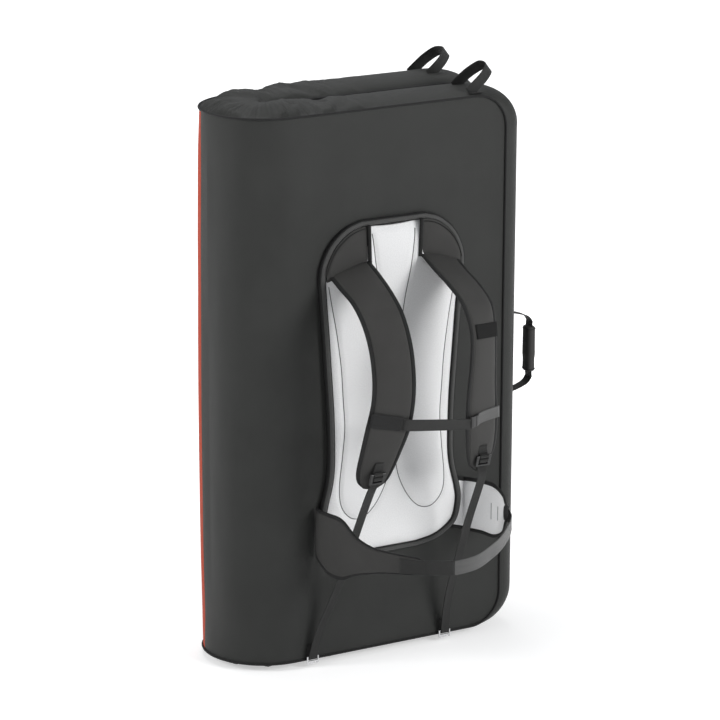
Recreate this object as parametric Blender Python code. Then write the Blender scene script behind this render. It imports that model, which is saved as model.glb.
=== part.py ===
"""Bouldering crash pad, folded and standing on its lower edge, with its carrying harness.

The pad is two foam halves joined by a fold. The cover's outside is the line that keeps its
length, so the fold is five foam staves that open about six upright axes just outside it.
Metres, +Z up. The harness faces -Y, the fold is at -X and the free edges are at +X.
The origin is in the middle of the front half's underside.
"""

from math import atan2, cos, pi, radians, sin, sqrt

import bmesh
import bpy
from mathutils import Matrix, Vector
from mathutils.geometry import tessellate_polygon

# %% Pad sizes
PAD_HEIGHT = 1.170
PAD_THICKNESS = 0.126
SEAM_RUN = 0.497
EDGE_BULGE = 0.0175
END_BULGE = 0.050
CORNER_RADIUS = 0.070
FLOOR_FLAT = 0.002
FABRIC = 0.002
GAP = 0.0003
MEETING_GAP = 0.0005
LANDING_FOAM = 0.020
BASE_FOAM = 0.015
PIPING_RADIUS = 0.0025

# %% Fold sizes
STAVE_COUNT = 5
FOLD_TURN = radians(180)
FOLD_FABRIC_CORE = 0.006
AXIS_MARGIN = 0.0005

# %% Harness sizes
HARNESS_OFFSET = 0.226
PANEL_TOP = 0.918
PANEL_HEIGHT = 0.690
PANEL_HALF_WIDTH = 0.170
PANEL_EDGE = 0.008
PANEL_CROWN = 0.006
PANEL_SEAM_DEPTH = 0.003
BINDING_RADIUS = 0.005
YOKE_THICKNESS = 0.008
YOKE_SEAM_GAP = 0.0015
YOKE_DROP = 0.072
STRAP_DROP = 0.436
STRAP_OFFSET = 0.162
STRAP_DEPTH = 0.202
STRAP_THICKNESS = 0.014
STRAP_END_THICKNESS = 0.008
WEBBING_THICKNESS = 0.0015
LOAD_WEBBING_WIDTH = 0.020
LOCK_WIDTH = 0.034
LOCK_THICKNESS = 0.005
LOCK_BAR = 0.004
LOCK_SLOT = 0.0065
LOCK_SLOT_WIDTH = 0.0225
LOCK_RISE = 0.030
LOCK_TILT = radians(18)
LOCK_CLEARANCE = 0.0024
LEFT_ANCHOR_OFFSET = -0.187
RIGHT_ANCHOR_OFFSET = 0.131
HOOK_WIDTH = 0.028
HOOK_HEIGHT = 0.0165
HOOK_THICKNESS = 0.003
HOOK_BAR = 0.003
HOOK_SLOT = 0.007
HOOK_BAR_HEIGHT = 0.0225
HOOK_DEPTH = 0.0085
HOOK_NOTCH = 0.0045
TAB_HEIGHT = 0.024
TAB_BOTTOM = 0.021
STERNUM_DROP = 0.301
STERNUM_WIDTH = 0.025
STERNUM_SEAT_GAP = 0.0008
STERNUM_BUCKLE_LENGTH = 0.022
STERNUM_BUCKLE_THICKNESS = 0.006
WING_LENGTH = 0.250
WING_THICKNESS = 0.011
WING_ROOT_OFFSET = 0.1735
WING_ROOT_DEPTH = 0.0011
WING_RISE = 0.037
WING_ROOT_HEIGHT = 0.150
HIP_WEBBING_WIDTH = 0.030
HIP_SEAT_GAP = 0.0007
HIP_BUCKLE_LENGTH = 0.028
HIP_BUCKLE_WIDTH = 0.038
HIP_BUCKLE_THICKNESS = 0.009
HIP_FOLD = 0.006

# %% Carrying loops, side handles and zip
LOOP_X = 0.430
LOOP_WIDTH = 0.024
LOOP_RISE = 0.054
LOOP_LEAN = radians(33)
LOOP_SEAT_GAP = 0.0004
HANDLE_TOP = 0.668
HANDLE_SPAN = 0.168
HANDLE_REACH = 0.056
HANDLE_WIDTH = 0.024
GRIP_LENGTH = 0.100
GRIP_WIDTH = 0.030
GRIP_DEPTH = 0.021
ZIP_BOTTOM = 0.120
ZIP_LENGTH = 0.920
ZIP_DEPTH_LOW = 0.025
ZIP_TAPE_WIDTH = 0.019
ZIP_TAPE_THICKNESS = 0.0012
ZIP_CHAIN_WIDTH = 0.005
ZIP_CHAIN_THICKNESS = 0.0014
SLIDER_LENGTH = 0.012
SLIDER_WIDTH = 0.011
SLIDER_THICKNESS = 0.0035
PULL_LENGTH = 0.026
PULL_WIDTH = 0.007
PULL_THICKNESS = 0.0018

# %% Sizes that follow
HALF_THICKNESS = PAD_THICKNESS / 2
STRAP_TOP = PANEL_TOP - YOKE_DROP
STERNUM_HEIGHT = STRAP_TOP - STERNUM_DROP
WING_MIDDLE = PANEL_TOP - PANEL_HEIGHT + WING_RISE
FOLD_X = -SEAM_RUN / 2
INNER_Y = HALF_THICKNESS
FACE_Y = INNER_Y - PAD_THICKNESS
TOP_SEAM = PAD_HEIGHT - EDGE_BULGE
BOTTOM_SEAM = EDGE_BULGE - FLOOR_FLAT
HINGE_TURN = FOLD_TURN / (STAVE_COUNT + 1)
AXIS_RADIUS = PAD_THICKNESS + 2 * PIPING_RADIUS + GAP + AXIS_MARGIN
LINING = FABRIC + GAP
INNER_SKIN = MEETING_GAP + FABRIC
OUTER_SKIN = PAD_THICKNESS - FABRIC
LANDING_LOW = INNER_SKIN + GAP
LANDING_HIGH = LANDING_LOW + LANDING_FOAM
CORE_LOW = LANDING_HIGH + GAP
BASE_HIGH = OUTER_SKIN - GAP
BASE_LOW = BASE_HIGH - BASE_FOAM
CORE_HIGH = BASE_LOW - GAP
HARNESS_X = FOLD_X + HARNESS_OFFSET
SMOOTH_ANGLE = radians(35)
WALL_SHARES = (0.0, 0.10, 0.36, 0.68, 1.0)
CORNER_STEPS = 6
SECTOR_STEPS = 3


# %% Scene, collections and finishes
for old in list(bpy.data.objects):
    bpy.data.objects.remove(old)


def new_collection(name):
    """Link a collection of that name to the scene."""
    made = bpy.data.collections.new(name)
    bpy.context.scene.collection.children.link(made)
    return made


PARTS = new_collection("bouldering_crash_pad")
CUTTERS = new_collection("cutters")


def finish(name, colour, roughness, metallic=0.0):
    """A Principled material with one colour, roughness and metallic value."""
    made = bpy.data.materials.new(name)
    made.use_nodes = True
    shader = made.node_tree.nodes["Principled BSDF"]
    shader.inputs["Base Color"].default_value = (*colour, 1.0)
    shader.inputs["Roughness"].default_value = roughness
    shader.inputs["Metallic"].default_value = metallic
    made.diffuse_color = (*colour, 1.0)
    return made


SHELL = finish("shell_fabric", (0.045, 0.045, 0.043), 0.8)
ORANGE = finish("orange_fabric", (0.62, 0.09, 0.03), 0.75)
LANDING = finish("landing_fabric", (0.28, 0.29, 0.30), 0.85)
WEBBING = finish("webbing", (0.040, 0.040, 0.040), 0.6)
PADDING = finish("panel_mesh", (0.68, 0.69, 0.72), 0.85)
BINDING = finish("binding_tape", (0.030, 0.030, 0.030), 0.6)
SOFT_FOAM = finish("open_cell_foam", (0.75, 0.70, 0.45), 0.95)
FIRM_FOAM = finish("closed_cell_foam", (0.10, 0.11, 0.13), 0.9)
PLASTIC = finish("buckle_plastic", (0.025, 0.025, 0.025), 0.4)
STEEL = finish("hook_steel", (0.55, 0.56, 0.57), 0.3, 1.0)


def pivot(name, place, parent=None):
    """An empty on a joint's axis, which carries the pieces that turn about it."""
    empty = bpy.data.objects.new(name + "_pivot", None)
    PARTS.objects.link(empty)
    empty.location = place
    bpy.context.view_layer.update()
    if parent is not None:
        hang_on(empty, parent)
    return empty


def hang_on(child, parent):
    """Parent child to parent where it stands."""
    bpy.context.view_layer.update()
    child.parent = parent
    child.matrix_parent_inverse = parent.matrix_world.inverted()
    bpy.context.view_layer.update()


def add_piece(name, mesh_or_bm, material, parent):
    """Turn a bmesh or mesh into a named object with its finish, on its pivot."""
    if isinstance(mesh_or_bm, bmesh.types.BMesh):
        mesh = bpy.data.meshes.new(name)
        bmesh.ops.recalc_face_normals(mesh_or_bm, faces=mesh_or_bm.faces)
        mesh_or_bm.to_mesh(mesh)
        mesh_or_bm.free()
    else:
        mesh = mesh_or_bm
    mesh.materials.clear()
    mesh.materials.append(material)
    mesh.shade_smooth()
    mesh.set_sharp_from_angle(angle=SMOOTH_ANGLE)
    piece = bpy.data.objects.new(name, mesh)
    PARTS.objects.link(piece)
    hang_on(piece, parent)
    return piece


# %% Shape helpers
def loft(rings, diagonal=0):
    """Close a body through rings of equal, even count, whose points pair across the ring.

    With diagonal 1 its quads are split alike, and with -1 the second half of each ring is
    split the other way, so that a lining and the foam in it bend along the same lines.
    """
    bm = bmesh.new()
    rows = [[bm.verts.new(point) for point in ring] for ring in rings]
    count = len(rows[0])
    for here, there in zip(rows, rows[1:]):
        for i in range(count):
            j = (i + 1) % count
            a, b, c, d = here[i], here[j], there[j], there[i]
            if diagonal == 0:
                bm.faces.new((a, b, c, d))
            elif diagonal < 0 and i >= count // 2:
                bm.faces.new((a, b, d))
                bm.faces.new((b, c, d))
            else:
                bm.faces.new((a, b, c))
                bm.faces.new((a, c, d))
    for row, flip in ((rows[0], True), (rows[-1], False)):
        for i in range(count // 2 - 1):
            quad = [row[i], row[i + 1], row[count - 2 - i], row[count - 1 - i]]
            bm.faces.new(quad[::-1] if flip else quad)
    return bm


def spline(points, steps):
    """A smooth run through points of any dimension, with that many steps to each span."""
    rows = [Vector(p) for p in points]
    ends = [2 * rows[0] - rows[1], *rows, 2 * rows[-1] - rows[-2]]
    made = []
    for a, b, c, d in zip(ends, ends[1:], ends[2:], ends[3:]):
        for k in range(steps):
            t = k / steps
            made.append(
                0.5 * (2 * b + (c - a) * t + (2 * a - 5 * b + 4 * c - d) * t**2
                       + (3 * b - a - 3 * c + d) * t**3)
            )
    return made + [rows[-1]]


PAD_SECTION_SHARES = ((-1.0, 0.25), (-0.92, 0.72), (-0.6, 0.95), (0.0, 1.0))


def band(first_edge, second_edge, thickness, padded=False):
    """A band between two edges. thickness is one value or one for each pair of points."""
    count = len(first_edge)
    deep = thickness if hasattr(thickness, "__len__") else [thickness] * count
    if padded:
        half = PAD_SECTION_SHARES
        shares = half + tuple((-u, h) for u, h in half[-2::-1])
    else:
        shares = ((-1.0, 1.0), (1.0, 1.0))
    rings = []
    for i in range(count):
        a, b = Vector(first_edge[i]), Vector(second_edge[i])
        low, high = max(i - 1, 0), min(i + 1, count - 1)
        along = (Vector(first_edge[high]) + Vector(second_edge[high])
                 - Vector(first_edge[low]) - Vector(second_edge[low]))
        normal = along.cross(b - a).normalized() * deep[i] / 2
        middle, side = (a + b) / 2, (b - a) / 2
        ring = [middle + side * u + normal * h for u, h in shares]
        ring += [middle + side * u - normal * h for u, h in reversed(shares)]
        rings.append(ring)
    return loft(rings)


def ribbon(path, across, widths, thickness):
    """A flat strip along a path, with its width along one direction."""
    across = Vector(across).normalized()
    wide = widths if hasattr(widths, "__len__") else [widths] * len(path)
    first = [Vector(p) - across * w / 2 for p, w in zip(path, wide)]
    second = [Vector(p) + across * w / 2 for p, w in zip(path, wide)]
    return band(first, second, thickness)


def box(size, centre=(0, 0, 0), bevel=0.0):
    """A box mesh, with its edges rounded if bevel is set."""
    bm = bmesh.new()
    bmesh.ops.create_cube(bm, size=1.0)
    bmesh.ops.scale(bm, vec=size, verts=bm.verts)
    bmesh.ops.translate(bm, vec=centre, verts=bm.verts)
    if bevel:
        bmesh.ops.bevel(bm, geom=bm.edges[:], offset=bevel, segments=1, affect="EDGES",
                        clamp_overlap=True)
    return bm


def cut(piece, cutter_bms):
    """Take cutters, made in the piece's own space, out of it with exact Booleans."""
    for number, bm in enumerate(cutter_bms):
        mesh = bpy.data.meshes.new(f"{piece.name}_cut_{number}")
        bmesh.ops.recalc_face_normals(bm, faces=bm.faces)
        bm.to_mesh(mesh)
        bm.free()
        cutter = bpy.data.objects.new(mesh.name, mesh)
        CUTTERS.objects.link(cutter)
        cutter.hide_render = True
        cutter.display_type = "WIRE"
        cutter.parent = piece
        change = piece.modifiers.new(mesh.name, "BOOLEAN")
        change.operation = "DIFFERENCE"
        change.solver = "EXACT"
        change.object = cutter


def tube(name, points, radius, material, parent, closed=False):
    """A round cord along points, as a curve with a bevel and filled caps."""
    data = bpy.data.curves.new(name, "CURVE")
    data.dimensions = "3D"
    data.bevel_depth = radius
    data.bevel_resolution = 2
    data.use_fill_caps = True
    run = data.splines.new("POLY")
    run.points.add(len(points) - 1)
    for slot, point in zip(run.points, points):
        slot.co = (*point, 1.0)
    run.use_cyclic_u = closed
    data.materials.append(material)
    piece = bpy.data.objects.new(name, data)
    PARTS.objects.link(piece)
    hang_on(piece, parent)
    return piece


# %% Pad form
def arch(depth, bulge, inset):
    """How far an arched wall stands out past its seam, at a depth from the inner face."""
    radius = (HALF_THICKNESS**2 + bulge**2) / (2 * bulge)
    return bulge - radius + sqrt((radius - inset) ** 2 - (depth - HALF_THICKNESS) ** 2)


def wall_columns():
    """Depths across the whole wall, with the edges of the floor strip among them."""
    radius = (HALF_THICKNESS**2 + EDGE_BULGE**2) / (2 * EDGE_BULGE)
    side = HALF_THICKNESS - sqrt(radius**2 - (radius - FLOOR_FLAT) ** 2)
    columns = [side * share for share in WALL_SHARES]
    return columns + [HALF_THICKNESS] + [PAD_THICKNESS - c for c in reversed(columns)]


WALL_COLUMNS = wall_columns()


def rise(depth, bulge, inset):
    """The arch as its facets have it, straight from one column to the next."""
    inside = LINING
    for low, high in zip(WALL_COLUMNS, WALL_COLUMNS[1:]):
        if depth <= high:
            break
    a, b = arch(max(low, inside), bulge, inset), arch(min(high, PAD_THICKNESS - inside), bulge, inset)
    low, high = max(low, inside), min(high, PAD_THICKNESS - inside)
    return a + (b - a) * (depth - low) / (high - low)


def depth_columns(low, high):
    """Depths across a wall between two faces."""
    return [low] + [c for c in WALL_COLUMNS if low + GAP < c < high - GAP] + [high]


def pad_point(side, run, depth, height):
    """A point of the front half (side 1) or back half (side -1), depth from the inner face."""
    return Vector((FOLD_X + run, INNER_Y - side * depth, height))


def seam(up):
    """Height of the upper (1) or lower (-1) seam."""
    return TOP_SEAM if up > 0 else BOTTOM_SEAM


def fold_station(side, turn, slip):
    """A radial station of the half's share of the fold."""
    def place(depth, out, up):
        run = -depth * sin(turn) + slip * cos(turn)
        across = depth * cos(turn) + slip * sin(turn)
        return pad_point(side, run, across, seam(up) + up * out)
    return place, EDGE_BULGE


def straight_station(side, run):
    """A station square across the half."""
    def place(depth, out, up):
        return pad_point(side, run, depth, seam(up) + up * out)
    return place, EDGE_BULGE


def corner_station(side, share):
    """A station round a corner of the free edge, where the wall's arch grows."""
    angle = share * pi / 2
    bulge = EDGE_BULGE + (END_BULGE - EDGE_BULGE) * share * share * (3 - 2 * share)

    def place(depth, out, up):
        reach = CORNER_RADIUS + out
        run = SEAM_RUN - CORNER_RADIUS + reach * sin(angle)
        height = seam(up) - up * CORNER_RADIUS + up * reach * cos(angle)
        return pad_point(side, run, depth, height)
    return place, bulge


def stations(side, start=None):
    """Stations from the fold, or from a start on the straight run, to the free edge."""
    made = []
    if start is None:
        half_turn = HINGE_TURN / 2
        made.append(fold_station(side, half_turn, GAP / 2))
        for k in range(SECTOR_STEPS - 1, 0, -1):
            made.append(fold_station(side, half_turn * k / SECTOR_STEPS, 0.0))
    made.append(straight_station(side, start or 0.0))
    for k in range(CORNER_STEPS + 1):
        made.append(corner_station(side, k / CORNER_STEPS))
    return made


def wall_row(station, columns, inset, up):
    """One row of points over the arched wall at a station."""
    place, bulge = station
    row = [place(q, rise(q, bulge, inset), up) for q in columns]
    if up < 0:
        for point in row:
            point.z = max(point.z, inset)
    return row


def pad_layer(side, low, high, inset, start=None):
    """A slab of the half between two depths: a fabric face or a foam layer."""
    columns = depth_columns(low, high)
    rings = []
    for station in stations(side, start):
        top = wall_row(station, columns, inset, 1)
        bottom = wall_row(station, columns, inset, -1)
        rings.append(top + bottom[::-1])
    return loft(rings, 1)


def wall_band(side):
    """The cover's wall: one arched band over the top, free edge and underside."""
    columns = depth_columns(INNER_SKIN + GAP, OUTER_SKIN - GAP)
    path = [(s, 1) for s in stations(side)] + [(s, -1) for s in reversed(stations(side))]
    rings = []
    for station, up in path:
        outer = wall_row(station, columns, 0.0, up)
        inner = wall_row(station, columns, FABRIC, up)
        rings.append(outer + inner[::-1])
    return loft(rings, -1)


def seam_path(side, depth, out):
    """Points along the outer seam, from the fold over the top and round to the underside."""
    top = [place(depth, out, 1) for place, _ in stations(side)]
    bottom = [place(depth, out, -1) for place, _ in stations(side)]
    return top + bottom[::-1]


def build_half(name, side, face_material, parent):
    """One half: cover panels, wall band, three foam layers and the piping."""
    core_start = CORE_LOW
    pieces = (
        ("face_panel", OUTER_SKIN, PAD_THICKNESS, 0.0, None, face_material),
        ("landing_panel", MEETING_GAP, INNER_SKIN, 0.0, core_start, LANDING),
        ("landing_foam", LANDING_LOW, LANDING_HIGH, LINING, core_start, FIRM_FOAM),
        ("core_foam", CORE_LOW, CORE_HIGH, LINING, None, SOFT_FOAM),
        ("base_foam", BASE_LOW, BASE_HIGH, LINING, None, FIRM_FOAM),
    )
    for part, low, high, inset, start, material in pieces:
        add_piece(f"{name}_{part}", pad_layer(side, low, high, inset, start), material, parent)
    add_piece(f"{name}_wall_band", wall_band(side), SHELL, parent)
    cord = seam_path(side, PAD_THICKNESS + PIPING_RADIUS + GAP, 0.0)
    tube(f"{name}_piping", cord, PIPING_RADIUS, BINDING, parent)


# %% Fold form
def fold_direction(turn):
    """Unit vector out from the fold's centre, at a turn from the front face."""
    return Vector((-sin(turn), -cos(turn), 0.0))


def stave_body(outer, inner, number, channel=False):
    """Spin a profile into a stave and set it on the fold, clear of its neighbours.

    The rows are paired point by point, or in a channel they are its outside and inside.
    """
    bm = bmesh.new()
    rows = [[bm.verts.new((r, 0.0, z)) for r, z in row] for row in (outer, inner)]
    if channel:
        corners = rows[0] + rows[1][::-1]
        for triangle in tessellate_polygon([[v.co.xzy for v in corners]]):
            a, b, c = (corners[i] for i in triangle)
            facing = (b.co - a.co).cross(c.co - a.co).y
            bm.faces.new((a, b, c) if facing > 0 else (c, b, a))
    else:
        for i in range(len(outer) - 1):
            bm.faces.new((rows[0][i], rows[0][i + 1], rows[1][i + 1], rows[1][i]))
    slip = GAP / 2 / sin(HINGE_TURN / 2)
    bmesh.ops.translate(bm, vec=(-slip, 0, 0), verts=bm.verts)
    bmesh.ops.rotate(bm, cent=(0, 0, 0), matrix=Matrix.Rotation(-HINGE_TURN / 2, 3, "Z"),
                     verts=bm.verts)
    bmesh.ops.spin(bm, geom=bm.verts[:] + bm.edges[:] + bm.faces[:], axis=(0, 0, 1),
                   cent=(0, 0, 0), angle=HINGE_TURN, steps=4, use_duplicate=False)
    out = fold_direction(HINGE_TURN * number)
    turn = Matrix.Rotation(atan2(out.y, out.x), 4, "Z")
    place = Matrix.Translation(Vector((FOLD_X, INNER_Y, 0.0)) + out * slip)
    bmesh.ops.transform(bm, matrix=place @ turn, verts=bm.verts)
    return bm


def arch_profile(columns, inset, up):
    """(radius, height) pairs over the fold's upper or lower arch."""
    heights = [seam(up) + up * rise(q, EDGE_BULGE, inset) for q in columns]
    if up < 0:
        heights = [max(z, inset) for z in heights]
    return list(zip(columns, heights))


def piping_bead(up):
    """The piping where it is sewn into the fold's cover, as points round its cord."""
    centre = PAD_THICKNESS + PIPING_RADIUS - GAP
    turns = [radians(a) for a in (-150, -90, -30, 30, 90, 150)]
    points = [(centre + PIPING_RADIUS * cos(a), seam(up) - up * PIPING_RADIUS * sin(a))
              for a in turns]
    return points


def build_stave(number, parent):
    """One stave: the cover's strip, with its piping, and the foam block inside it."""
    last = PAD_THICKNESS - GAP
    columns = depth_columns(FOLD_FABRIC_CORE, last)
    top = arch_profile(columns, 0.0, 1)
    bottom = arch_profile(columns, 0.0, -1)
    outer = top + piping_bead(1) + piping_bead(-1)[::-1] + bottom[::-1]
    columns = depth_columns(FOLD_FABRIC_CORE, OUTER_SKIN)
    inner_top = arch_profile(columns, FABRIC, 1)
    inner_bottom = arch_profile(columns, FABRIC, -1)
    inner = inner_top + inner_bottom[::-1]
    material = SHELL if number <= (STAVE_COUNT + 1) // 2 - 1 else ORANGE
    add_piece(f"fold_cover_{number}", stave_body(outer, inner, number, True), material, parent)
    columns = depth_columns(CORE_LOW, BASE_HIGH)
    top = arch_profile(columns, LINING, 1)
    bottom = arch_profile(columns, LINING, -1)
    add_piece(f"fold_foam_{number}", stave_body(top, bottom, number), SOFT_FOAM, parent)


def hinge_place(number):
    """A point on the fold's hinge of that number, from the front half on."""
    centre = Vector((FOLD_X, INNER_Y, PAD_HEIGHT / 2))
    return centre + fold_direction(HINGE_TURN * (number - 0.5)) * AXIS_RADIUS


front_half = pivot("front_half", (0, 0, 0))
build_half("front", 1, SHELL, front_half)
link = front_half
for stave in range(1, STAVE_COUNT + 1):
    link = pivot(f"fold_{stave}", hinge_place(stave), link)
    build_stave(stave, link)
back_half = pivot("back_half", hinge_place(STAVE_COUNT + 1), link)
build_half("back", -1, ORANGE, back_half)


# %% Harness places
def harness(side, depth, height):
    """A point of the harness: side from its middle, depth out from the pad's face."""
    return Vector((HARNESS_X + side, FACE_Y - depth, height))


PANEL_ROW_SHARES = (
    (0.000, 0.36), (0.010, 0.60), (0.032, 0.78), (0.060, 0.89), (0.115, 0.945),
    (0.160, 0.92), (0.230, 0.85), (0.300, 0.825), (0.430, 0.845), (0.560, 0.885),
    (0.680, 0.925), (0.790, 0.970), (0.860, 1.000), (0.905, 0.975), (0.950, 0.870),
    (0.985, 0.700), (1.000, 0.500),
)
PANEL_COLUMN_SHARES = (-1.0, -0.96, -0.90, -0.86, -0.82, -0.5, -0.30, -0.25, -0.20,
                       0.0, 0.20, 0.25, 0.30, 0.5, 0.82, 0.86, 0.90, 0.96, 1.0)
PANEL_SEAM_SHARES = (0.25, 0.86)
FLAT_TOP_SHARE = 0.84


def panel_row(share, width_share):
    """Front points of the padded back panel at one height, from left to right."""
    height = PANEL_TOP - PANEL_HEIGHT * (1 - share)
    width = PANEL_HALF_WIDTH * width_share
    end = max(0.0, min(1.0, 6 * share, 6 * (FLAT_TOP_SHARE - share)))
    row = []
    for u in PANEL_COLUMN_SHARES:
        crown = PANEL_CROWN * (1 - abs(u) ** 3) * end
        if min(abs(abs(u) - s) for s in PANEL_SEAM_SHARES) < 0.001:
            crown = max(crown - PANEL_SEAM_DEPTH, 0.0)
        row.append(harness(width * u, GAP + PANEL_EDGE + crown, height))
    return row


def build_panel():
    """The padded back panel, crowned, with its sewn channels, and the tape round its edge."""
    rings = []
    for share, width_share in PANEL_ROW_SHARES:
        front = panel_row(share, width_share)
        back = [Vector((p.x, FACE_Y - GAP, p.z)) for p in front]
        rings.append(front + back[::-1])
    add_piece("back_panel", loft(rings), PADDING, front_half)
    right = [harness(PANEL_HALF_WIDTH * w, 0.0, PANEL_TOP - PANEL_HEIGHT * (1 - s))
             for s, w in PANEL_ROW_SHARES]
    left = [Vector((2 * HARNESS_X - p.x, p.y, p.z)) for p in reversed(right)]
    outline = right + left
    out = BINDING_RADIUS + GAP
    cord = []
    for i, point in enumerate(outline):
        before = (point - outline[i - 1]).normalized()
        after = (outline[(i + 1) % len(outline)] - point).normalized()
        n1 = Vector((before.z, 0, -before.x))
        n2 = Vector((after.z, 0, -after.x))
        miter = (n1 + n2) / (1 + n1.dot(n2))
        cord.append(point + miter * out + Vector((0, -GAP - BINDING_RADIUS, 0)))
    tube("panel_binding", cord, BINDING_RADIUS, BINDING, front_half, closed=True)


YOKE_SHARES = (
    (0.382, 0.990), (0.606, 0.976), (0.788, 0.946), (0.871, 0.918), (0.912, 0.900),
    (0.324, 0.926),
)
PANEL_FRONT = GAP + PANEL_EDGE + GAP
YOKE_MIDDLE = PANEL_FRONT + YOKE_THICKNESS / 2


def build_yoke(name, hand):
    """The sewn patch that holds a shoulder strap's top to the panel's corner."""
    bm = bmesh.new()
    corners = [(PANEL_HALF_WIDTH * a, PANEL_TOP * b) for a, b in YOKE_SHARES]
    verts = [bm.verts.new(harness(hand * s, PANEL_FRONT, z)) for s, z in corners]
    face = bm.faces.new(verts)
    made = bmesh.ops.extrude_face_region(bm, geom=[face])
    moved = [v for v in made["geom"] if isinstance(v, bmesh.types.BMVert)]
    bmesh.ops.translate(bm, vec=(0, -YOKE_THICKNESS, 0), verts=moved)
    front = [e for e in bm.edges if all(v in moved for v in e.verts)]
    bmesh.ops.bevel(bm, geom=front, offset=YOKE_THICKNESS / 3, segments=2, affect="EDGES")
    add_piece(name, bm, SHELL, front_half)


build_panel()
build_yoke("left_yoke", -1)
build_yoke("right_yoke", 1)

# %% Shoulder straps
INNER_EDGE_SHARES = (
    (0.0026, 0.36, 0.064), (0.0512, 0.365, 0.31), (0.1052, 0.39, 0.57), (0.1741, 0.415, 0.80),
    (0.2887, 0.42, 0.96), (0.4265, 0.395, 1.00), (0.5643, 0.377, 0.975), (0.7021, 0.40, 0.92),
    (0.8167, 0.465, 0.842), (0.908, 0.531, 0.777), (0.966, 0.60, 0.735), (1.000, 0.73, 0.708),
)
OUTER_EDGE_SHARES = (
    (0.0552, 0.945, 0.064), (0.0968, 0.94, 0.26), (0.1397, 0.94, 0.495), (0.2086, 0.95, 0.70),
    (0.3120, 0.92, 0.797), (0.4377, 0.90, 0.842), (0.5643, 0.907, 0.842), (0.7021, 0.963, 0.797),
    (0.8167, 1.00, 0.748), (0.908, 1.006, 0.688), (0.966, 0.957, 0.644), (1.000, 0.87, 0.640),
)
THICKNESS_SHARES = (0.0, 0.55, 0.9, 1.0, 1.0, 1.0, 1.0, 1.0, 1.0, 0.9, 0.55, 0.0)


def strap_edges(hand):
    """The strap's inner and outer edges, and its thickness along them."""
    edges = []
    for table in (INNER_EDGE_SHARES, OUTER_EDGE_SHARES):
        places = [harness(hand * STRAP_OFFSET * s, STRAP_DEPTH * d, STRAP_TOP - STRAP_DROP * t)
                  for t, s, d in table]
        edges.append(spline(places, 2))
    extra = STRAP_THICKNESS - STRAP_END_THICKNESS
    deep = [STRAP_END_THICKNESS + extra * s for s in THICKNESS_SHARES]
    deep = [v.x for v in spline([(d, 0, 0) for d in deep], 2)]
    return edges[0], edges[1], deep


def strap_section(hand, height):
    """The strap's inner and outer edge points at one height, on its arched part."""
    found = []
    for edge in strap_edges(hand)[:2]:
        for a, b in zip(edge, edge[1:]):
            if a.z >= height >= b.z:
                found.append(a.lerp(b, (a.z - height) / (a.z - b.z)))
                break
    return found


LOCK_TOP = STRAP_TOP - STRAP_DROP
LOCK_HEIGHT = 3 * LOCK_BAR + 2 * LOCK_SLOT
LOOP_RADIUS = sqrt(LOCK_BAR**2 + LOCK_THICKNESS**2) / 2 + GAP + WEBBING_THICKNESS / 2
HOOK_LOOP_RADIUS = HOOK_BAR / sqrt(2) + GAP + WEBBING_THICKNESS / 2


def lock_place(hand):
    """The middle bar of the ladder lock, on the outer face of a strap's end."""
    inner, outer = strap_section(hand, LOCK_TOP + LOCK_RISE)
    out = STRAP_THICKNESS / 2 + LOOP_RADIUS + WEBBING_THICKNESS / 2 + LOCK_CLEARANCE
    return (inner + outer) / 2 + Vector((0, -cos(LOCK_TILT), -sin(LOCK_TILT))) * out


def hook_place(side):
    """The bar of a metal hook at the foot of a load webbing."""
    return harness(side, HOOK_DEPTH, HOOK_BAR_HEIGHT)


def build_lock(name, hand, parent):
    """The ladder lock: a frame of three bars with two slots."""
    lock = add_piece(name, box((LOCK_WIDTH, LOCK_THICKNESS, LOCK_HEIGHT), bevel=GAP * 2),
                     PLASTIC, parent)
    slot = (LOCK_SLOT_WIDTH, LOCK_THICKNESS * 2, LOCK_SLOT)
    lift = (LOCK_BAR + LOCK_SLOT) / 2
    cut(lock, [box(slot, (0, 0, lift)), box(slot, (0, 0, -lift))])
    lock.parent = None
    lock.location = lock_place(hand)
    lock.rotation_euler = (LOCK_TILT, 0, 0)
    hang_on(lock, parent)


LOAD_RUN_SHARES = {
    "left": ((0.829, 0.700, 0.96), (0.805, 0.421, 0.73), (0.895, 0.248, 0.47),
             (0.980, 0.149, 0.32), (1.085, 0.099, 0.20)),
    "right": ((0.798, 0.725, 0.96), (0.812, 0.480, 0.71), (0.800, 0.290, 0.46),
              (0.785, 0.180, 0.30), (0.790, 0.110, 0.18)),
}


def build_webbing(name, hand, anchor_side, parent):
    """The load webbing: a loop round the lock's bar, a run down, a loop round the hook's bar."""
    top, foot = lock_place(hand), hook_place(anchor_side)
    up = Vector((0, -sin(LOCK_TILT), cos(LOCK_TILT)))
    front = Vector((0, -cos(LOCK_TILT), -sin(LOCK_TILT)))
    path = [top + (front * cos(a) + up * sin(a)) * LOOP_RADIUS
            for a in (radians(d) for d in range(-40, 181, 20))]
    lower = [foot + Vector((0, -cos(a), sin(a))) * HOOK_LOOP_RADIUS
             for a in (radians(d) for d in range(0, -251, -25))]
    start = path[-1] - up * LOCK_HEIGHT * 0.58
    end = lower[0] + Vector((0, 0, HOOK_BAR * 2))
    shares = LOAD_RUN_SHARES["left" if hand < 0 else "right"]
    middle = [harness(hand * STRAP_OFFSET * s, STRAP_DEPTH * d, LOCK_TOP * z)
              for s, d, z in shares]
    path += spline([start, *middle, end], 4) + lower
    add_piece(name, ribbon(path, (1, 0, 0), LOAD_WEBBING_WIDTH, WEBBING_THICKNESS),
              WEBBING, parent)


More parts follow.
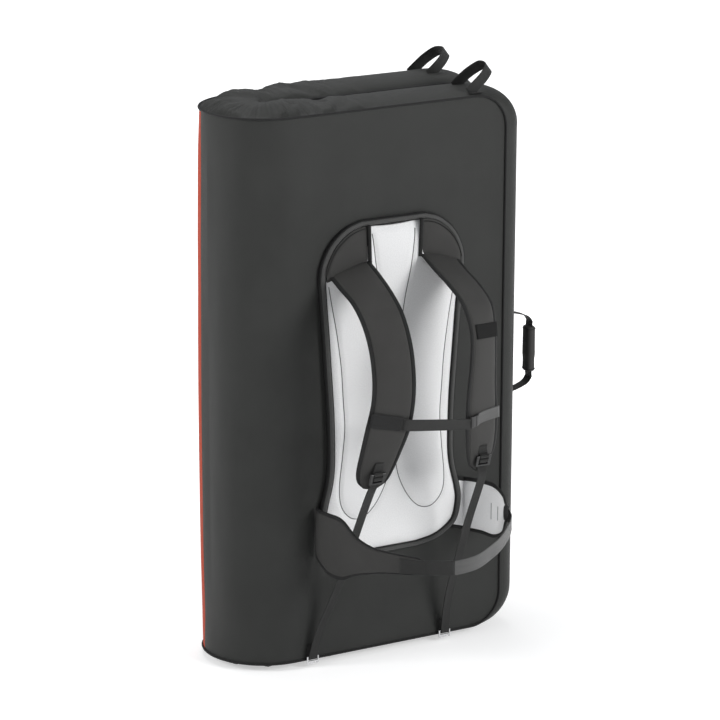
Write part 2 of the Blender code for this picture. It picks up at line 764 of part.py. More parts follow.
def build_hook(name, anchor_side, parent):
    """The flat metal hook: a bar for the webbing and an open notch below it."""
    drop = HOOK_HEIGHT / 2 - HOOK_BAR / 2
    plate = box((HOOK_WIDTH, HOOK_THICKNESS, HOOK_HEIGHT), (0, 0, -drop), GAP * 2)
    hook = add_piece(name, plate, STEEL, parent)
    slot = box((HOOK_WIDTH - 2 * HOOK_BAR, HOOK_THICKNESS * 2, HOOK_SLOT),
               (0, 0, -(HOOK_BAR + HOOK_SLOT) / 2))
    bottom = HOOK_BAR / 2 - HOOK_HEIGHT
    notch_height = HOOK_HEIGHT - HOOK_SLOT - 2 * HOOK_BAR
    notch = box((HOOK_NOTCH, HOOK_THICKNESS * 2, notch_height * 2),
                (HOOK_WIDTH / 4, 0, bottom))
    cut(hook, [slot, notch])
    hook.parent = None
    hook.location = hook_place(anchor_side)
    hang_on(hook, parent)


def build_tab(name, anchor_side):
    """The webbing tab sewn over the pad's lower edge behind a hook."""
    low = harness(anchor_side, GAP + WEBBING_THICKNESS / 2, TAB_BOTTOM)
    path = [low, low + Vector((0, 0, TAB_HEIGHT))]
    add_piece(name, ribbon(path, (1, 0, 0), LOAD_WEBBING_WIDTH, WEBBING_THICKNESS),
              WEBBING, front_half)


STRAP_AXIS = harness(0.0, YOKE_MIDDLE, STRAP_TOP)
strap_pivots = {}
for hand_name, hand, anchor in (("left", -1, LEFT_ANCHOR_OFFSET), ("right", 1, RIGHT_ANCHOR_OFFSET)):
    strap = pivot(f"{hand_name}_strap", STRAP_AXIS + Vector((hand * STRAP_OFFSET, 0, 0)),
                  front_half)
    strap_pivots[hand_name] = strap
    first, second, deep = strap_edges(hand)
    add_piece(f"{hand_name}_shoulder_strap", band(first, second, deep, padded=True), SHELL, strap)
    build_lock(f"{hand_name}_ladder_lock", hand, strap)
    build_webbing(f"{hand_name}_load_webbing", hand, anchor, strap)
    hook = pivot(f"{hand_name}_hook", hook_place(anchor), strap)
    build_hook(f"{hand_name}_hook", anchor, hook)
    build_tab(f"{hand_name}_anchor_tab", anchor)

# %% Sternum strap
SEAT = STRAP_THICKNESS / 2 + STERNUM_SEAT_GAP + WEBBING_THICKNESS / 2


STERNUM_PLACE_SHARES = {
    "left": ((0.04, 0.80), (0.5, 0.50), (0.75, 0.32), (1.02, 0.12)),
    "right": ((0.04, -0.25), (0.5, -0.29), (0.75, -0.38), (1.02, -0.62)),
}


def sternum_rows(hand):
    """Upper and lower edge points of the sternum webbing on one strap, outer end first."""
    rows = []
    for half in (STERNUM_WIDTH / 2, -STERNUM_WIDTH / 2):
        row = []
        for place, slope in STERNUM_PLACE_SHARES["left" if hand < 0 else "right"]:
            inner, outer = strap_section(hand, STERNUM_HEIGHT + STERNUM_WIDTH * slope + half)
            across = inner - outer
            out = Vector((-across.y * hand, across.x * hand, 0)).normalized()
            if out.y > 0:
                out = -out
            row.append(outer.lerp(inner, place) + out * SEAT)
        rows.append(row)
    return rows


def build_sternum():
    """Webbing from the left strap over the gap, its buckle, and the right strap's webbing."""
    left_up, left_low = sternum_rows(-1)
    right_up, right_low = sternum_rows(1)
    stop = right_up[3].lerp(right_up[2], 0.25)
    stop_low = right_low[3].lerp(right_low[2], 0.25)
    upper = left_up + [right_up[3], stop]
    lower = left_low + [right_low[3], stop_low]
    add_piece("sternum_webbing", band(upper, lower, WEBBING_THICKNESS), WEBBING,
              strap_pivots["left"])
    toward = (right_up[1] - stop).normalized()
    toward_low = (right_low[1] - stop_low).normalized()
    begin = [stop + toward * GAP, stop_low + toward_low * GAP]
    finish_at = [begin[0] + toward * STERNUM_BUCKLE_LENGTH,
                 begin[1] + toward_low * STERNUM_BUCKLE_LENGTH]
    lift = (STERNUM_BUCKLE_THICKNESS - WEBBING_THICKNESS) / 2
    out = toward.cross(Vector((0, 0, 1))).normalized()
    out = -out if out.y > 0 else out
    add_piece("sternum_buckle",
              band([begin[0] + out * lift, finish_at[0] + out * lift],
                   [begin[1] + out * lift, finish_at[1] + out * lift],
                   STERNUM_BUCKLE_THICKNESS),
              PLASTIC, strap_pivots["right"])
    upper = [finish_at[0] + toward * GAP, right_up[1], right_up[0]]
    lower = [finish_at[1] + toward_low * GAP, right_low[1], right_low[0]]
    add_piece("sternum_anchor", band(upper, lower, WEBBING_THICKNESS), WEBBING,
              strap_pivots["right"])


build_sternum()

# %% Hip belt
LEFT_WING_SHARES = (
    (0.008, -0.002, 0.148, 0.703), (0.007, 0.070, 0.106, 0.777), (-0.016, 0.176, 0.046, 0.888),
    (-0.066, 0.296, 0.015, 0.869), (-0.106, 0.456, -0.012, 0.56), (-0.154, 0.616, -0.005, 0.39),
    (-0.214, 0.732, 0.01, 0.32), (-0.294, 0.836, 0.01, 0.28), (-0.382, 0.940, 0.01, 0.25),
    (-0.422, 0.988, 0.01, 0.17),
)
RIGHT_WING_SHARES = (
    (0.022, -0.002, 0.175, 0.783), (0.026, 0.040, 0.185, 0.782), (0.044, 0.100, 0.195, 0.785),
    (0.094, 0.190, 0.190, 0.790), (0.130, 0.310, 0.178, 0.780), (0.134, 0.430, 0.195, 0.580),
    (0.122, 0.495, 0.245, 0.260),
)
WING_THICKNESS_SHARES = (0.15, 0.75, 1.0)
HIP_RUN_SHARES = (
    (0.440, 1.040, 0.02), (0.630, 1.110, 0.0), (0.860, 1.076, 0.0), (1.060, 0.966, 0.02),
    (1.240, 0.840, 0.04), (1.430, 0.660, 0.06), (1.590, 0.460, 0.07), (1.660, 0.300, 0.08),
)


def wing_edges(hand, shares):
    """Upper and lower edges of a hip wing, from its root out to its tip."""
    upper, lower = [], []
    for inward, reach, lift, height in shares:
        side = hand * (WING_ROOT_OFFSET + WING_LENGTH * inward)
        depth = WING_ROOT_DEPTH + WING_LENGTH * reach
        middle = WING_MIDDLE + WING_ROOT_HEIGHT * lift
        half = WING_ROOT_HEIGHT * height / 2
        upper.append(harness(side, depth, middle + half))
        lower.append(harness(side, depth, middle - half))
    return spline(upper, 2), spline(lower, 2)


def build_wings():
    """Both padded wings, each on an upright axis at its root."""
    wings = {}
    for name, hand, shares in (("left", -1, LEFT_WING_SHARES), ("right", 1, RIGHT_WING_SHARES)):
        root = hand * (WING_ROOT_OFFSET + WING_LENGTH * shares[0][0])
        wing = pivot(f"{name}_wing", harness(root, WING_ROOT_DEPTH, WING_MIDDLE), front_half)
        upper, lower = wing_edges(hand, shares)
        deep = [WING_THICKNESS * s for s in WING_THICKNESS_SHARES]
        deep += [WING_THICKNESS] * (len(upper) - len(deep))
        add_piece(f"{name}_hip_wing", band(upper, lower, deep, padded=True), SHELL, wing)
        wings[name] = wing
    return wings


def offset_out(points, distance):
    """Move a plan path outwards, away from the wearer's side."""
    moved = []
    for i, point in enumerate(points):
        low, high = points[max(i - 1, 0)], points[min(i + 1, len(points) - 1)]
        along = (high - low).normalized()
        out = Vector((along.y, -along.x, 0)).normalized()
        moved.append(point + out * distance)
    return moved


def build_hip_webbing(wings):
    """The belt webbing from the left wing round to the buckle on the right wing's outside."""
    upper, lower = wing_edges(-1, LEFT_WING_SHARES)
    middle = [(a + b) / 2 for a, b in zip(upper, lower)]
    seat = WING_THICKNESS / 2 + HIP_SEAT_GAP + WEBBING_THICKNESS / 2
    on_wing = offset_out(middle, seat)[-5:]
    run = []
    for along, reach, lift in HIP_RUN_SHARES:
        side = -WING_ROOT_OFFSET + WING_LENGTH * along
        run.append(harness(side, WING_ROOT_DEPTH + WING_LENGTH * reach,
                           WING_MIDDLE + WING_ROOT_HEIGHT * lift))
    path = on_wing + spline(run, 2)
    add_piece("hip_webbing", ribbon(path, (0, 0, 1), HIP_WEBBING_WIDTH, WEBBING_THICKNESS),
              WEBBING, wings["left"])
    end = path[-1]
    along = (path[-1] - path[-2])
    along.z = 0.0
    along.normalize()
    place = end + along * GAP
    far = place + along * HIP_BUCKLE_LENGTH
    add_piece("hip_buckle",
              ribbon([place, far], (0, 0, 1), HIP_BUCKLE_WIDTH, HIP_BUCKLE_THICKNESS),
              PLASTIC, wings["left"])
    place = far + along * 2 * GAP
    far = place + along * HIP_BUCKLE_LENGTH
    face = GAP + WEBBING_THICKNESS / 2
    socket_side = far.x - HARNESS_X
    fold = harness(socket_side + HIP_FOLD, face + 2 * HIP_FOLD, end.z)
    socket = pivot("hip_socket", fold, front_half)
    add_piece("hip_buckle_socket",
              ribbon([place, far], (0, 0, 1), HIP_BUCKLE_WIDTH, HIP_BUCKLE_THICKNESS),
              PLASTIC, socket)
    back = [far + along * 2 * GAP, far + along * HIP_FOLD / 3, fold,
            harness(socket_side + HIP_FOLD / 2, face + HIP_FOLD / 3, end.z)]
    flat = [harness(socket_side - HIP_FOLD, face, end.z),
            harness(WING_ROOT_OFFSET + WING_THICKNESS, face, end.z)]
    add_piece("hip_socket_webbing",
              ribbon(spline(back + flat, 4), (0, 0, 1), HIP_WEBBING_WIDTH, WEBBING_THICKNESS),
              WEBBING, front_half)


build_hip_webbing(build_wings())


# %% Carrying loops and side handles
def rounded_foot(axis_point, inward, radius):
    """Path points and widths for a strip end that is round about its turning axis."""
    shares = (0.97, 0.85, 0.55, 0.0)
    points = [axis_point + inward * radius * s for s in shares]
    widths = [2 * radius * sqrt(1 - s * s) for s in shares]
    return points, widths


def build_strip_loop(name, feet, inwards, middle, across, width, parent):
    """A carrying strip from one foot over its crown to the other foot."""
    start, start_widths = rounded_foot(feet[0], inwards[0], width / 2)
    end, end_widths = rounded_foot(feet[1], inwards[1], width / 2)
    run = spline([feet[0], *middle, feet[1]], 4)[1:-1]
    path = start + run + end[::-1]
    widths = start_widths + [width] * len(run) + end_widths[::-1]
    return add_piece(name, ribbon(path, across, widths, WEBBING_THICKNESS), WEBBING, parent)


LOOP_FEET = {"front": (0.020, 0.114), "back": (0.040, 0.116)}


def loop_feet(name, side):
    """The two points of a top loop's axis, one over each end of its half's thickness."""
    feet = []
    for depth in LOOP_FEET[name]:
        height = TOP_SEAM + rise(depth, EDGE_BULGE, 0.0) + LOOP_SEAT_GAP + LOOP_WIDTH / 2
        feet.append(pad_point(side, LOOP_X, depth, height))
    return feet


def build_top_loop(name, side, parent):
    """The webbing loop on top of one half, leaning towards the free edge."""
    feet = loop_feet(name, side)
    loop = pivot(f"{name}_top_loop", (feet[0] + feet[1]) / 2, parent)
    up = Vector((sin(LOOP_LEAN), 0, cos(LOOP_LEAN)))
    across = Vector((cos(LOOP_LEAN), 0, -sin(LOOP_LEAN)))
    span = feet[1] - feet[0]
    crown = [(0.05, 0.55), (0.28, 0.97), (0.50, 1.0), (0.72, 0.97), (0.95, 0.55)]
    middle = [feet[0] + span * a + up * LOOP_RISE * b for a, b in crown]
    build_strip_loop(f"{name}_top_loop", feet, [-up, -up], middle, across, LOOP_WIDTH, loop)


def build_side_handle(name, side, parent):
    """The handle on one half's free edge: webbing with a padded grip."""
    wall = SEAM_RUN + END_BULGE + LOOP_SEAT_GAP + HANDLE_WIDTH / 2
    feet = [pad_point(side, wall, HALF_THICKNESS, HANDLE_TOP),
            pad_point(side, wall, HALF_THICKNESS, HANDLE_TOP - HANDLE_SPAN)]
    handle = pivot(f"{name}_handle", (feet[0] + feet[1]) / 2, parent)
    reach = Vector((HANDLE_REACH - HANDLE_WIDTH / 2, 0, 0))
    shares = ((0.72, 0.060), (1.0, 0.135), (1.0, 0.195), (1.0, 0.805), (1.0, 0.865), (0.72, 0.940))
    span = feet[1] - feet[0]
    middle = [feet[0] + span * b + reach * a for a, b in shares]
    inward = Vector((-1, 0, 0))
    build_strip_loop(f"{name}_side_handle", feet, [inward, inward], middle, (0, 1, 0),
                     HANDLE_WIDTH, handle)
    centre = (feet[0] + feet[1]) / 2 + reach
    grip = bmesh.new()
    bmesh.ops.create_cone(grip, cap_ends=True, segments=16, radius1=0.5, radius2=0.5, depth=1.0)
    bmesh.ops.scale(grip, vec=(GRIP_DEPTH, GRIP_WIDTH, GRIP_LENGTH), verts=grip.verts)
    rim = [e for e in grip.edges if abs(e.verts[0].co.z - e.verts[1].co.z) < GAP]
    bmesh.ops.bevel(grip, geom=rim, offset=GRIP_DEPTH / 6, segments=2, affect="EDGES")
    piece = add_piece(f"{name}_side_grip", grip, SHELL, handle)
    bore = box((WEBBING_THICKNESS + 2 * GAP, HANDLE_WIDTH + 2 * GAP, GRIP_LENGTH * 2))
    cut(piece, [bore])
    piece.parent = None
    piece.location = centre
    hang_on(piece, handle)


for half_name, side, owner in (("front", 1, front_half), ("back", -1, back_half)):
    build_top_loop(half_name, side, owner)
    build_side_handle(half_name, side, owner)


# %% Zip on the back half's free edge
def end_wall_point(depth, out, height):
    """A point on the back half's free edge, that far outside the wall's fabric."""
    run = SEAM_RUN + rise(depth, END_BULGE, -out)
    return pad_point(-1, run, depth, height)


def zip_strip(low, high, under, over):
    """A strip that follows the wall's arch, between two offsets from the fabric."""
    depths = depth_columns(low, high)
    rings = []
    for height in (ZIP_BOTTOM, ZIP_BOTTOM + ZIP_LENGTH):
        outer = [end_wall_point(d, over, height) for d in depths]
        inner = [end_wall_point(d, under, height) for d in depths]
        rings.append(outer + inner[::-1])
    return loft(rings)


def build_zip():
    """Zip tape and chain up the wall, with the slider at the bottom and its pull hanging."""
    middle = ZIP_DEPTH_LOW + ZIP_TAPE_WIDTH / 2
    tape_top = GAP + ZIP_TAPE_THICKNESS
    add_piece("zip_tape",
              zip_strip(ZIP_DEPTH_LOW, ZIP_DEPTH_LOW + ZIP_TAPE_WIDTH, GAP, tape_top),
              WEBBING, back_half)
    chain_top = tape_top + GAP + ZIP_CHAIN_THICKNESS
    add_piece("zip_chain",
              zip_strip(middle - ZIP_CHAIN_WIDTH / 2, middle + ZIP_CHAIN_WIDTH / 2,
                        tape_top + GAP, chain_top),
              PLASTIC, back_half)
    rest = ZIP_BOTTOM + SLIDER_LENGTH / 2
    across = (end_wall_point(middle + ZIP_CHAIN_WIDTH / 2, 0.0, rest)
              - end_wall_point(middle - ZIP_CHAIN_WIDTH / 2, 0.0, rest)).normalized()
    out = Vector((abs(across.y), -across.x * (1 if across.y > 0 else -1), 0))
    place = (end_wall_point(middle, 0.0, rest)
             + out * (chain_top + 2 * GAP + SLIDER_THICKNESS / 2))
    turn = atan2(out.y, out.x)
    slider = pivot("zip_slider", place, back_half)
    body = add_piece("zip_slider",
                     box((SLIDER_THICKNESS, SLIDER_WIDTH, SLIDER_LENGTH), bevel=GAP * 2),
                     STEEL, slider)
    body.parent = None
    body.location = place
    body.rotation_euler = (0, 0, turn)
    hang_on(body, slider)
    ring = place + out * (SLIDER_THICKNESS / 2 + GAP + PULL_THICKNESS / 2)
    ring.z = rest + SLIDER_LENGTH / 4
    pull = pivot("zip_pull", ring, slider)
    tab = add_piece("zip_pull",
                    box((PULL_THICKNESS, PULL_WIDTH, PULL_LENGTH),
                        (0, 0, PULL_THICKNESS / 2 - PULL_LENGTH / 2), bevel=GAP),
                    STEEL, pull)
    tab.parent = None
    tab.location = ring
    tab.rotation_euler = (0, 0, turn)
    hang_on(tab, pull)


build_zip()
bpy.context.view_layer.update()
print("pieces:", sum(o.type in {"MESH", "CURVE"} for o in PARTS.objects))
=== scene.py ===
# %% [markdown]
# A folding bouldering crash pad, dressed in its fabric, webbing and metal.
# Each soft piece is built as the sewn thing it is, and rides on the imported frame's bodies.
# The first cell loads the frame.

import math

import bmesh
import bpy
import numpy as np
from mathutils import Matrix, Vector


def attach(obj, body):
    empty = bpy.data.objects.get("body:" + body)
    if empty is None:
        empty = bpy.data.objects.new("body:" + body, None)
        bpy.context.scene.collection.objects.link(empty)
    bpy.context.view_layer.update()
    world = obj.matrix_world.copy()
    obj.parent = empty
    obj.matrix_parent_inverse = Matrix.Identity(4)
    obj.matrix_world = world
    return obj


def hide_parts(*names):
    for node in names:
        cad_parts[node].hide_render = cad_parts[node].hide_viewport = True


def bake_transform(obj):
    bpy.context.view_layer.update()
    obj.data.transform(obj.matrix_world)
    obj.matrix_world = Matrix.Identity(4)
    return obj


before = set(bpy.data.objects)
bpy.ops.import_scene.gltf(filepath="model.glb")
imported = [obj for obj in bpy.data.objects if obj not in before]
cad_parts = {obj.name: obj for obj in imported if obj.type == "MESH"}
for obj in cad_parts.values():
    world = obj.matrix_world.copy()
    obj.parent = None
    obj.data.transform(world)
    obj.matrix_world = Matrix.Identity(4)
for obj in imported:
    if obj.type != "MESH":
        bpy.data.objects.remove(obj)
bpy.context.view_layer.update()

# %% [markdown]
# These are the sizes that the CAD model has, in metres.
# The fold's centre line is at FOLD_X and INNER_Y, and each half is THICK deep.
# WEB_HALF is half of a CAD webbing's thickness, and SEWN_GAP is the gap that it leaves.
# HALVES gives each half its side, and the front half is at lower y. HANDS gives the harness
# its left hand at lower x.

# %% Sizes
THICK = 0.126
RUN = 0.497
FOLD_X = -RUN / 2
INNER_Y = THICK / 2
FACE_Y = INNER_Y - THICK
HEIGHT = 1.170
EDGE_BULGE = 0.0175
END_BULGE = 0.050
FLOOR_FLAT = 0.002
CORNER = 0.070
FLOOR_CLEAR = 0.0004
LANDING_INSET = 0.0003
PIPING_OUT = 0.0012
STAVE_STEP = math.radians(30)
TOP_SEAM = HEIGHT - EDGE_BULGE
BOTTOM_SEAM = EDGE_BULGE - FLOOR_FLAT
HARNESS_X = FOLD_X + 0.226
ORANGE_FROM = -THICK * math.radians(104)
WEB_HALF = 0.00075
SEWN_GAP = 0.0003
HALVES = (("front", 1), ("back", -1))
HANDS = (("left", -1), ("right", 1))

# %% [markdown]
# The camera stands where the photograph was taken from.
# Its place, turn and lens were fitted to the pad's outline.

# %% Camera
AZIMUTH, ELEVATION, ROLL = math.radians(30.745), math.radians(15.780), math.radians(0.2573)
CAMERA_PLACE = (-3.78599, -6.26868, 2.67658)
SENSOR, PICTURE, FOCAL = 36, 720, 3707.85
flat_way = Vector((math.sin(AZIMUTH), math.cos(AZIMUTH), 0))
forward = flat_way * math.cos(ELEVATION) - Vector((0, 0, math.sin(ELEVATION)))
level_up = flat_way * math.sin(ELEVATION) + Vector((0, 0, math.cos(ELEVATION)))
level_right = forward.cross(level_up)
right = math.cos(ROLL) * level_right + math.sin(ROLL) * level_up
up = -math.sin(ROLL) * level_right + math.cos(ROLL) * level_up
camera = bpy.data.objects.new("camera", bpy.data.cameras.new("camera"))
bpy.context.scene.collection.objects.link(camera)
turn = Matrix((right, up, -forward)).transposed().to_4x4()
camera.matrix_world = Matrix.Translation(CAMERA_PLACE) @ turn
camera.data.sensor_width = SENSOR
camera.data.lens = FOCAL * SENSOR / PICTURE
bpy.context.scene.camera = camera
bpy.context.scene.view_settings.view_transform = "Standard"
print("camera at", [round(c, 3) for c in camera.location])

# %% [markdown]
# Three wide soft lamps and a pale sky light the pad. The floor is plain and pale. Where the
# camera sees it, it glows a little more with distance, so that it joins the white background
# and keeps the pad's shadow.

# %% Stage and light
def area_light(name, place, size, power):
    """A square area lamp that looks at the pad's middle."""
    data = bpy.data.lights.new(name, "AREA")
    data.energy, data.size = power, size
    lamp = bpy.data.objects.new(name, data)
    lamp.location = place
    lamp.rotation_euler = (Vector(AIM) - Vector(place)).to_track_quat("-Z", "Y").to_euler()
    bpy.context.scene.collection.objects.link(lamp)


def add_node(tree, kind, inputs, **settings):
    """A shader node. Each input is a value, or an output of another node to link."""
    made = tree.nodes.new(f"ShaderNode{kind}")
    for key, value in settings.items():
        setattr(made, key, value)
    for key, value in inputs.items():
        if isinstance(value, bpy.types.NodeSocket):
            tree.links.new(value, made.inputs[key])
        else:
            made.inputs[key].default_value = value
    return made


AIM = (0.0, 0.0, 0.6)
area_light("key", (-4.3, 0.6, 2.6), 1.6, 110)
area_light("fill", (2.4, -4.2, 2.5), 2.2, 180)
area_light("top", (0.2, 1.2, 4.4), 2.2, 60)
world = bpy.data.worlds.new("sky")
bpy.context.scene.world = world
world.use_nodes = True
sky = world.node_tree
sky.nodes.clear()
rays = add_node(sky, "LightPath", {})
lit = add_node(sky, "Background", {"Color": (0.80, 0.82, 0.85, 1), "Strength": 0.40})
seen = add_node(sky, "Background", {"Color": (1, 1, 1, 1)})
mix = add_node(sky, "MixShader", {0: rays.outputs["Is Camera Ray"], 1: lit.outputs[0],
                                  2: seen.outputs[0]})
add_node(sky, "OutputWorld", {0: mix.outputs[0]})

FLOOR_HALF, FLOOR_DROP = 9, 0.0005
corners = [(x * FLOOR_HALF, y * FLOOR_HALF, 0) for x, y in ((-1, -1), (1, -1), (1, 1), (-1, 1))]
floor_mesh = bpy.data.meshes.new("floor")
floor_mesh.from_pydata(corners, [], [(0, 1, 2, 3)])
floor = bpy.data.objects.new("floor", floor_mesh)
bpy.context.scene.collection.objects.link(floor)
floor.location.z = -FLOOR_DROP
floor_material = bpy.data.materials.new("floor_white")
floor_material.use_nodes = True
ground = floor_material.node_tree
plain = ground.nodes["Principled BSDF"]
plain.inputs["Base Color"].default_value = (0.70, 0.70, 0.70, 1)
plain.inputs["Roughness"].default_value = 0.9
place = add_node(ground, "TexCoord", {})
reach = add_node(ground, "VectorMath", {0: place.outputs["Object"]}, operation="LENGTH")
far = add_node(ground, "MapRange", {"From Min": 0.4, "From Max": 2.2, "To Min": 0.48,
                                    "To Max": 1.0, "Value": reach.outputs["Value"]})
glow = add_node(ground, "Emission", {"Strength": far.outputs[0]})
lifted = add_node(ground, "AddShader", {0: plain.outputs[0], 1: glow.outputs[0]})
rays = add_node(ground, "LightPath", {})
bright = add_node(ground, "Math", {0: rays.outputs["Is Camera Ray"],
                                   1: rays.outputs["Is Glossy Ray"]}, operation="MAXIMUM")
choose = add_node(ground, "MixShader", {0: bright.outputs[0], 1: plain.outputs[0],
                                        2: lifted.outputs[0]})
ground.links.new(choose.outputs[0], ground.nodes["Material Output"].inputs[0])
floor_mesh.materials.append(floor_material)
print("lamps", len(bpy.data.lights))

# %% [markdown]
# Every cloth here is woven, so one node group makes threads from a piece's own coordinates.
# The coordinates are in metres, so the threads have the same size on every piece.

# %% Weave group
def weave_group(name, ribbed):
    """Thread height from UV in metres and a thread pitch."""
    group = bpy.data.node_groups.new(name, "ShaderNodeTree")
    for socket, way, kind in (("Vector", "INPUT", "Vector"), ("Pitch", "INPUT", "Float"),
                              ("Height", "OUTPUT", "Float")):
        group.interface.new_socket(socket, in_out=way, socket_type=f"NodeSocket{kind}")
    inlet, outlet = (group.nodes.new(f"NodeGroup{k}") for k in ("Input", "Output"))

    def maths(operation, *values):
        return add_node(group, "Math", dict(enumerate(values)), operation=operation).outputs[0]

    split = add_node(group, "SeparateXYZ", {0: inlet.outputs["Vector"]})
    u = maths("DIVIDE", split.outputs["X"], inlet.outputs["Pitch"])
    v = maths("DIVIDE", split.outputs["Y"], inlet.outputs["Pitch"])
    if ribbed:
        zigzag = maths("PINGPONG", v, 4.0)
        u = maths("ADD", maths("MULTIPLY", u, 0.7), maths("MULTIPLY", zigzag, 0.5))
    warp = maths("ABSOLUTE", maths("SINE", maths("MULTIPLY", u, math.pi)))
    weft = maths("ABSOLUTE", maths("SINE", maths("MULTIPLY", v, math.pi)))
    over = maths("PINGPONG", maths("ADD", maths("FLOOR", u), maths("FLOOR", v)), 1.0)
    under = maths("SUBTRACT", 1.0, over)
    height = maths("ADD", maths("MULTIPLY", warp, over), maths("MULTIPLY", weft, under))
    group.links.new(height, outlet.inputs["Height"])
    return group


PLAIN = weave_group("plain_weave", False)
RIBBED = weave_group("ribbed_webbing", True)
print("weaves", PLAIN.name, RIBBED.name)

# %% [markdown]
# A cloth material mixes two shades of its colour by slow noise, adds the thread bump and
# gives the cloth a little sheen, as coated nylon and polyester webbing have. Plastic and metal
# get a fine grain in place of threads.

# %% Materials
def new_material(name):
    """A material with its node tree and its main shader."""
    made = bpy.data.materials.new(name)
    made.use_nodes = True
    return made, made.node_tree, made.node_tree.nodes["Principled BSDF"]


def finish_shader(tree, shader, tone, spread, relief, **values):
    """Link a shader's colour, roughness and bump, and set its other sockets."""
    for socket, made in (("Base Color", tone.outputs["Result"]), ("Roughness", spread.outputs[0]),
                         ("Normal", relief.outputs[0])):
        tree.links.new(made, shader.inputs[socket])
    for key, value in values.items():
        shader.inputs[key.replace("_", " ")].default_value = value


CLOUD_SCALE, FLECK_SCALE, FLECK = 9.0, 420.0, 0.25
ROUGH_SPREAD, THREAD_SHARE = 0.08, 0.35


def cloth(name, colour, group, pitch, roughness, bump, vary, sheen, wear=0.0):
    """A woven material whose colour, roughness and bump come from nodes."""
    made, tree, shader = new_material(name)
    place = add_node(tree, "UVMap", {}).outputs[0]
    threads = add_node(tree, "Group", {"Pitch": pitch, "Vector": place}, node_tree=group)
    cloud, grain = (add_node(tree, "TexNoise", {"Scale": scale, "Detail": detail,
                                                "Vector": place}).outputs["Fac"]
                    for scale, detail in ((CLOUD_SCALE, 3.0), (FLECK_SCALE, 2.0)))
    dark = [c * (1 - vary) for c in colour]
    light = [min(1.0, c * (1 + vary) + wear) for c in colour]
    tone = add_node(tree, "Mix", {"A": (*dark, 1), "B": (*light, 1), "Factor": cloud},
                    data_type="RGBA")
    fleck = add_node(tree, "Mix", {"Factor": FLECK, "A": tone.outputs["Result"], "B": grain},
                     data_type="RGBA", blend_type="MULTIPLY")
    relief = add_node(tree, "Bump", {"Strength": bump, "Distance": pitch * THREAD_SHARE,
                                     "Height": threads.outputs["Height"]})
    spread = add_node(tree, "MapRange", {"To Min": roughness - ROUGH_SPREAD,
                                         "To Max": roughness + ROUGH_SPREAD, "Value": cloud})
    finish_shader(tree, shader, fleck, spread, relief, Sheen_Weight=sheen,
                  Sheen_Roughness=0.45, Specular_IOR_Level=0.25)
    return made


SHELL = cloth("shell_nylon", (0.023, 0.024, 0.022), PLAIN, 0.0011, 0.55, 0.5, 0.14, 0.04, 0.015)
WALL = cloth("wall_nylon", (0.019, 0.020, 0.018), PLAIN, 0.0011, 0.52, 0.5, 0.16, 0.04, 0.01)
ORANGE = cloth("orange_nylon", (0.50, 0.050, 0.012), PLAIN, 0.0011, 0.60, 0.5, 0.08, 0.0)
LANDING = cloth("landing_nylon", (0.20, 0.21, 0.22), PLAIN, 0.0013, 0.70, 0.5, 0.10, 0.05)
WEBBING = cloth("webbing", (0.018, 0.018, 0.017), RIBBED, 0.0016, 0.50, 0.9, 0.15, 0.06, 0.01)
# Black webbing with a lighter grey colour as painted sheen, on top of the shader's own sheen.
PAINTED_SHEEN_WEBBING = cloth("painted_sheen_webbing", (0.085, 0.085, 0.083), RIBBED, 0.0016, 0.42, 0.8, 0.18, 0.25, 0.03)
TAPE = cloth("binding_tape", (0.010, 0.010, 0.010), RIBBED, 0.0014, 0.60, 0.8, 0.12, 0.04, 0.006)
BINDING = cloth("grey_binding", (0.060, 0.060, 0.058), RIBBED, 0.0012, 0.55, 0.8, 0.12, 0.20, 0.02)
PADDED = cloth("strap_nylon", (0.036, 0.035, 0.033), PLAIN, 0.0010, 0.62, 0.5, 0.12, 0.05, 0.02)
LIGHT = cloth("light_mesh", (0.98, 0.98, 0.98), PLAIN, 0.0018, 0.75, 0.35, 0.02, 0.10, 0.02)
PATCH = cloth("blank_patch", (0.003, 0.003, 0.003), PLAIN, 0.0008, 0.80, 0.4, 0.10, 0.0, 0.002)
THREAD = cloth("stitch_thread", (0.10, 0.10, 0.10), PLAIN, 0.0006, 0.60, 0.4, 0.10, 0.10)


def hard(name, colour, metallic, roughness, scale, bump):
    """Moulded plastic or plated metal, with fine grain and slight scuffs."""
    made, tree, shader = new_material(name)
    place = add_node(tree, "TexCoord", {}).outputs["Object"]
    grain = add_node(tree, "TexNoise", {"Scale": scale, "Detail": 6.0,
                                        "Vector": place}).outputs["Fac"]
    tone = add_node(tree, "Mix", {"A": (*[c * 0.8 for c in colour], 1), "Factor": grain,
                                  "B": (*[min(1.0, c * 1.2) for c in colour], 1)},
                    data_type="RGBA")
    spread = add_node(tree, "MapRange", {"To Min": roughness * 0.75,
                                         "To Max": roughness * 1.25, "Value": grain})
    relief = add_node(tree, "Bump", {"Strength": bump, "Distance": 0.0002, "Height": grain})
    finish_shader(tree, shader, tone, spread, relief, Metallic=metallic)
    return made


PLASTIC = hard("moulded_plastic", (0.018, 0.018, 0.018), 0.0, 0.38, 900.0, 0.25)
STEEL = hard("plated_steel", (0.62, 0.62, 0.63), 1.0, 0.25, 350.0, 0.10)
print("materials", len(bpy.data.materials))

# %% [markdown]
# The shape helpers come next. A grid of points becomes a mesh with coordinates in metres,
# and a band becomes a closed strap, flat like webbing or full like a foam strap.

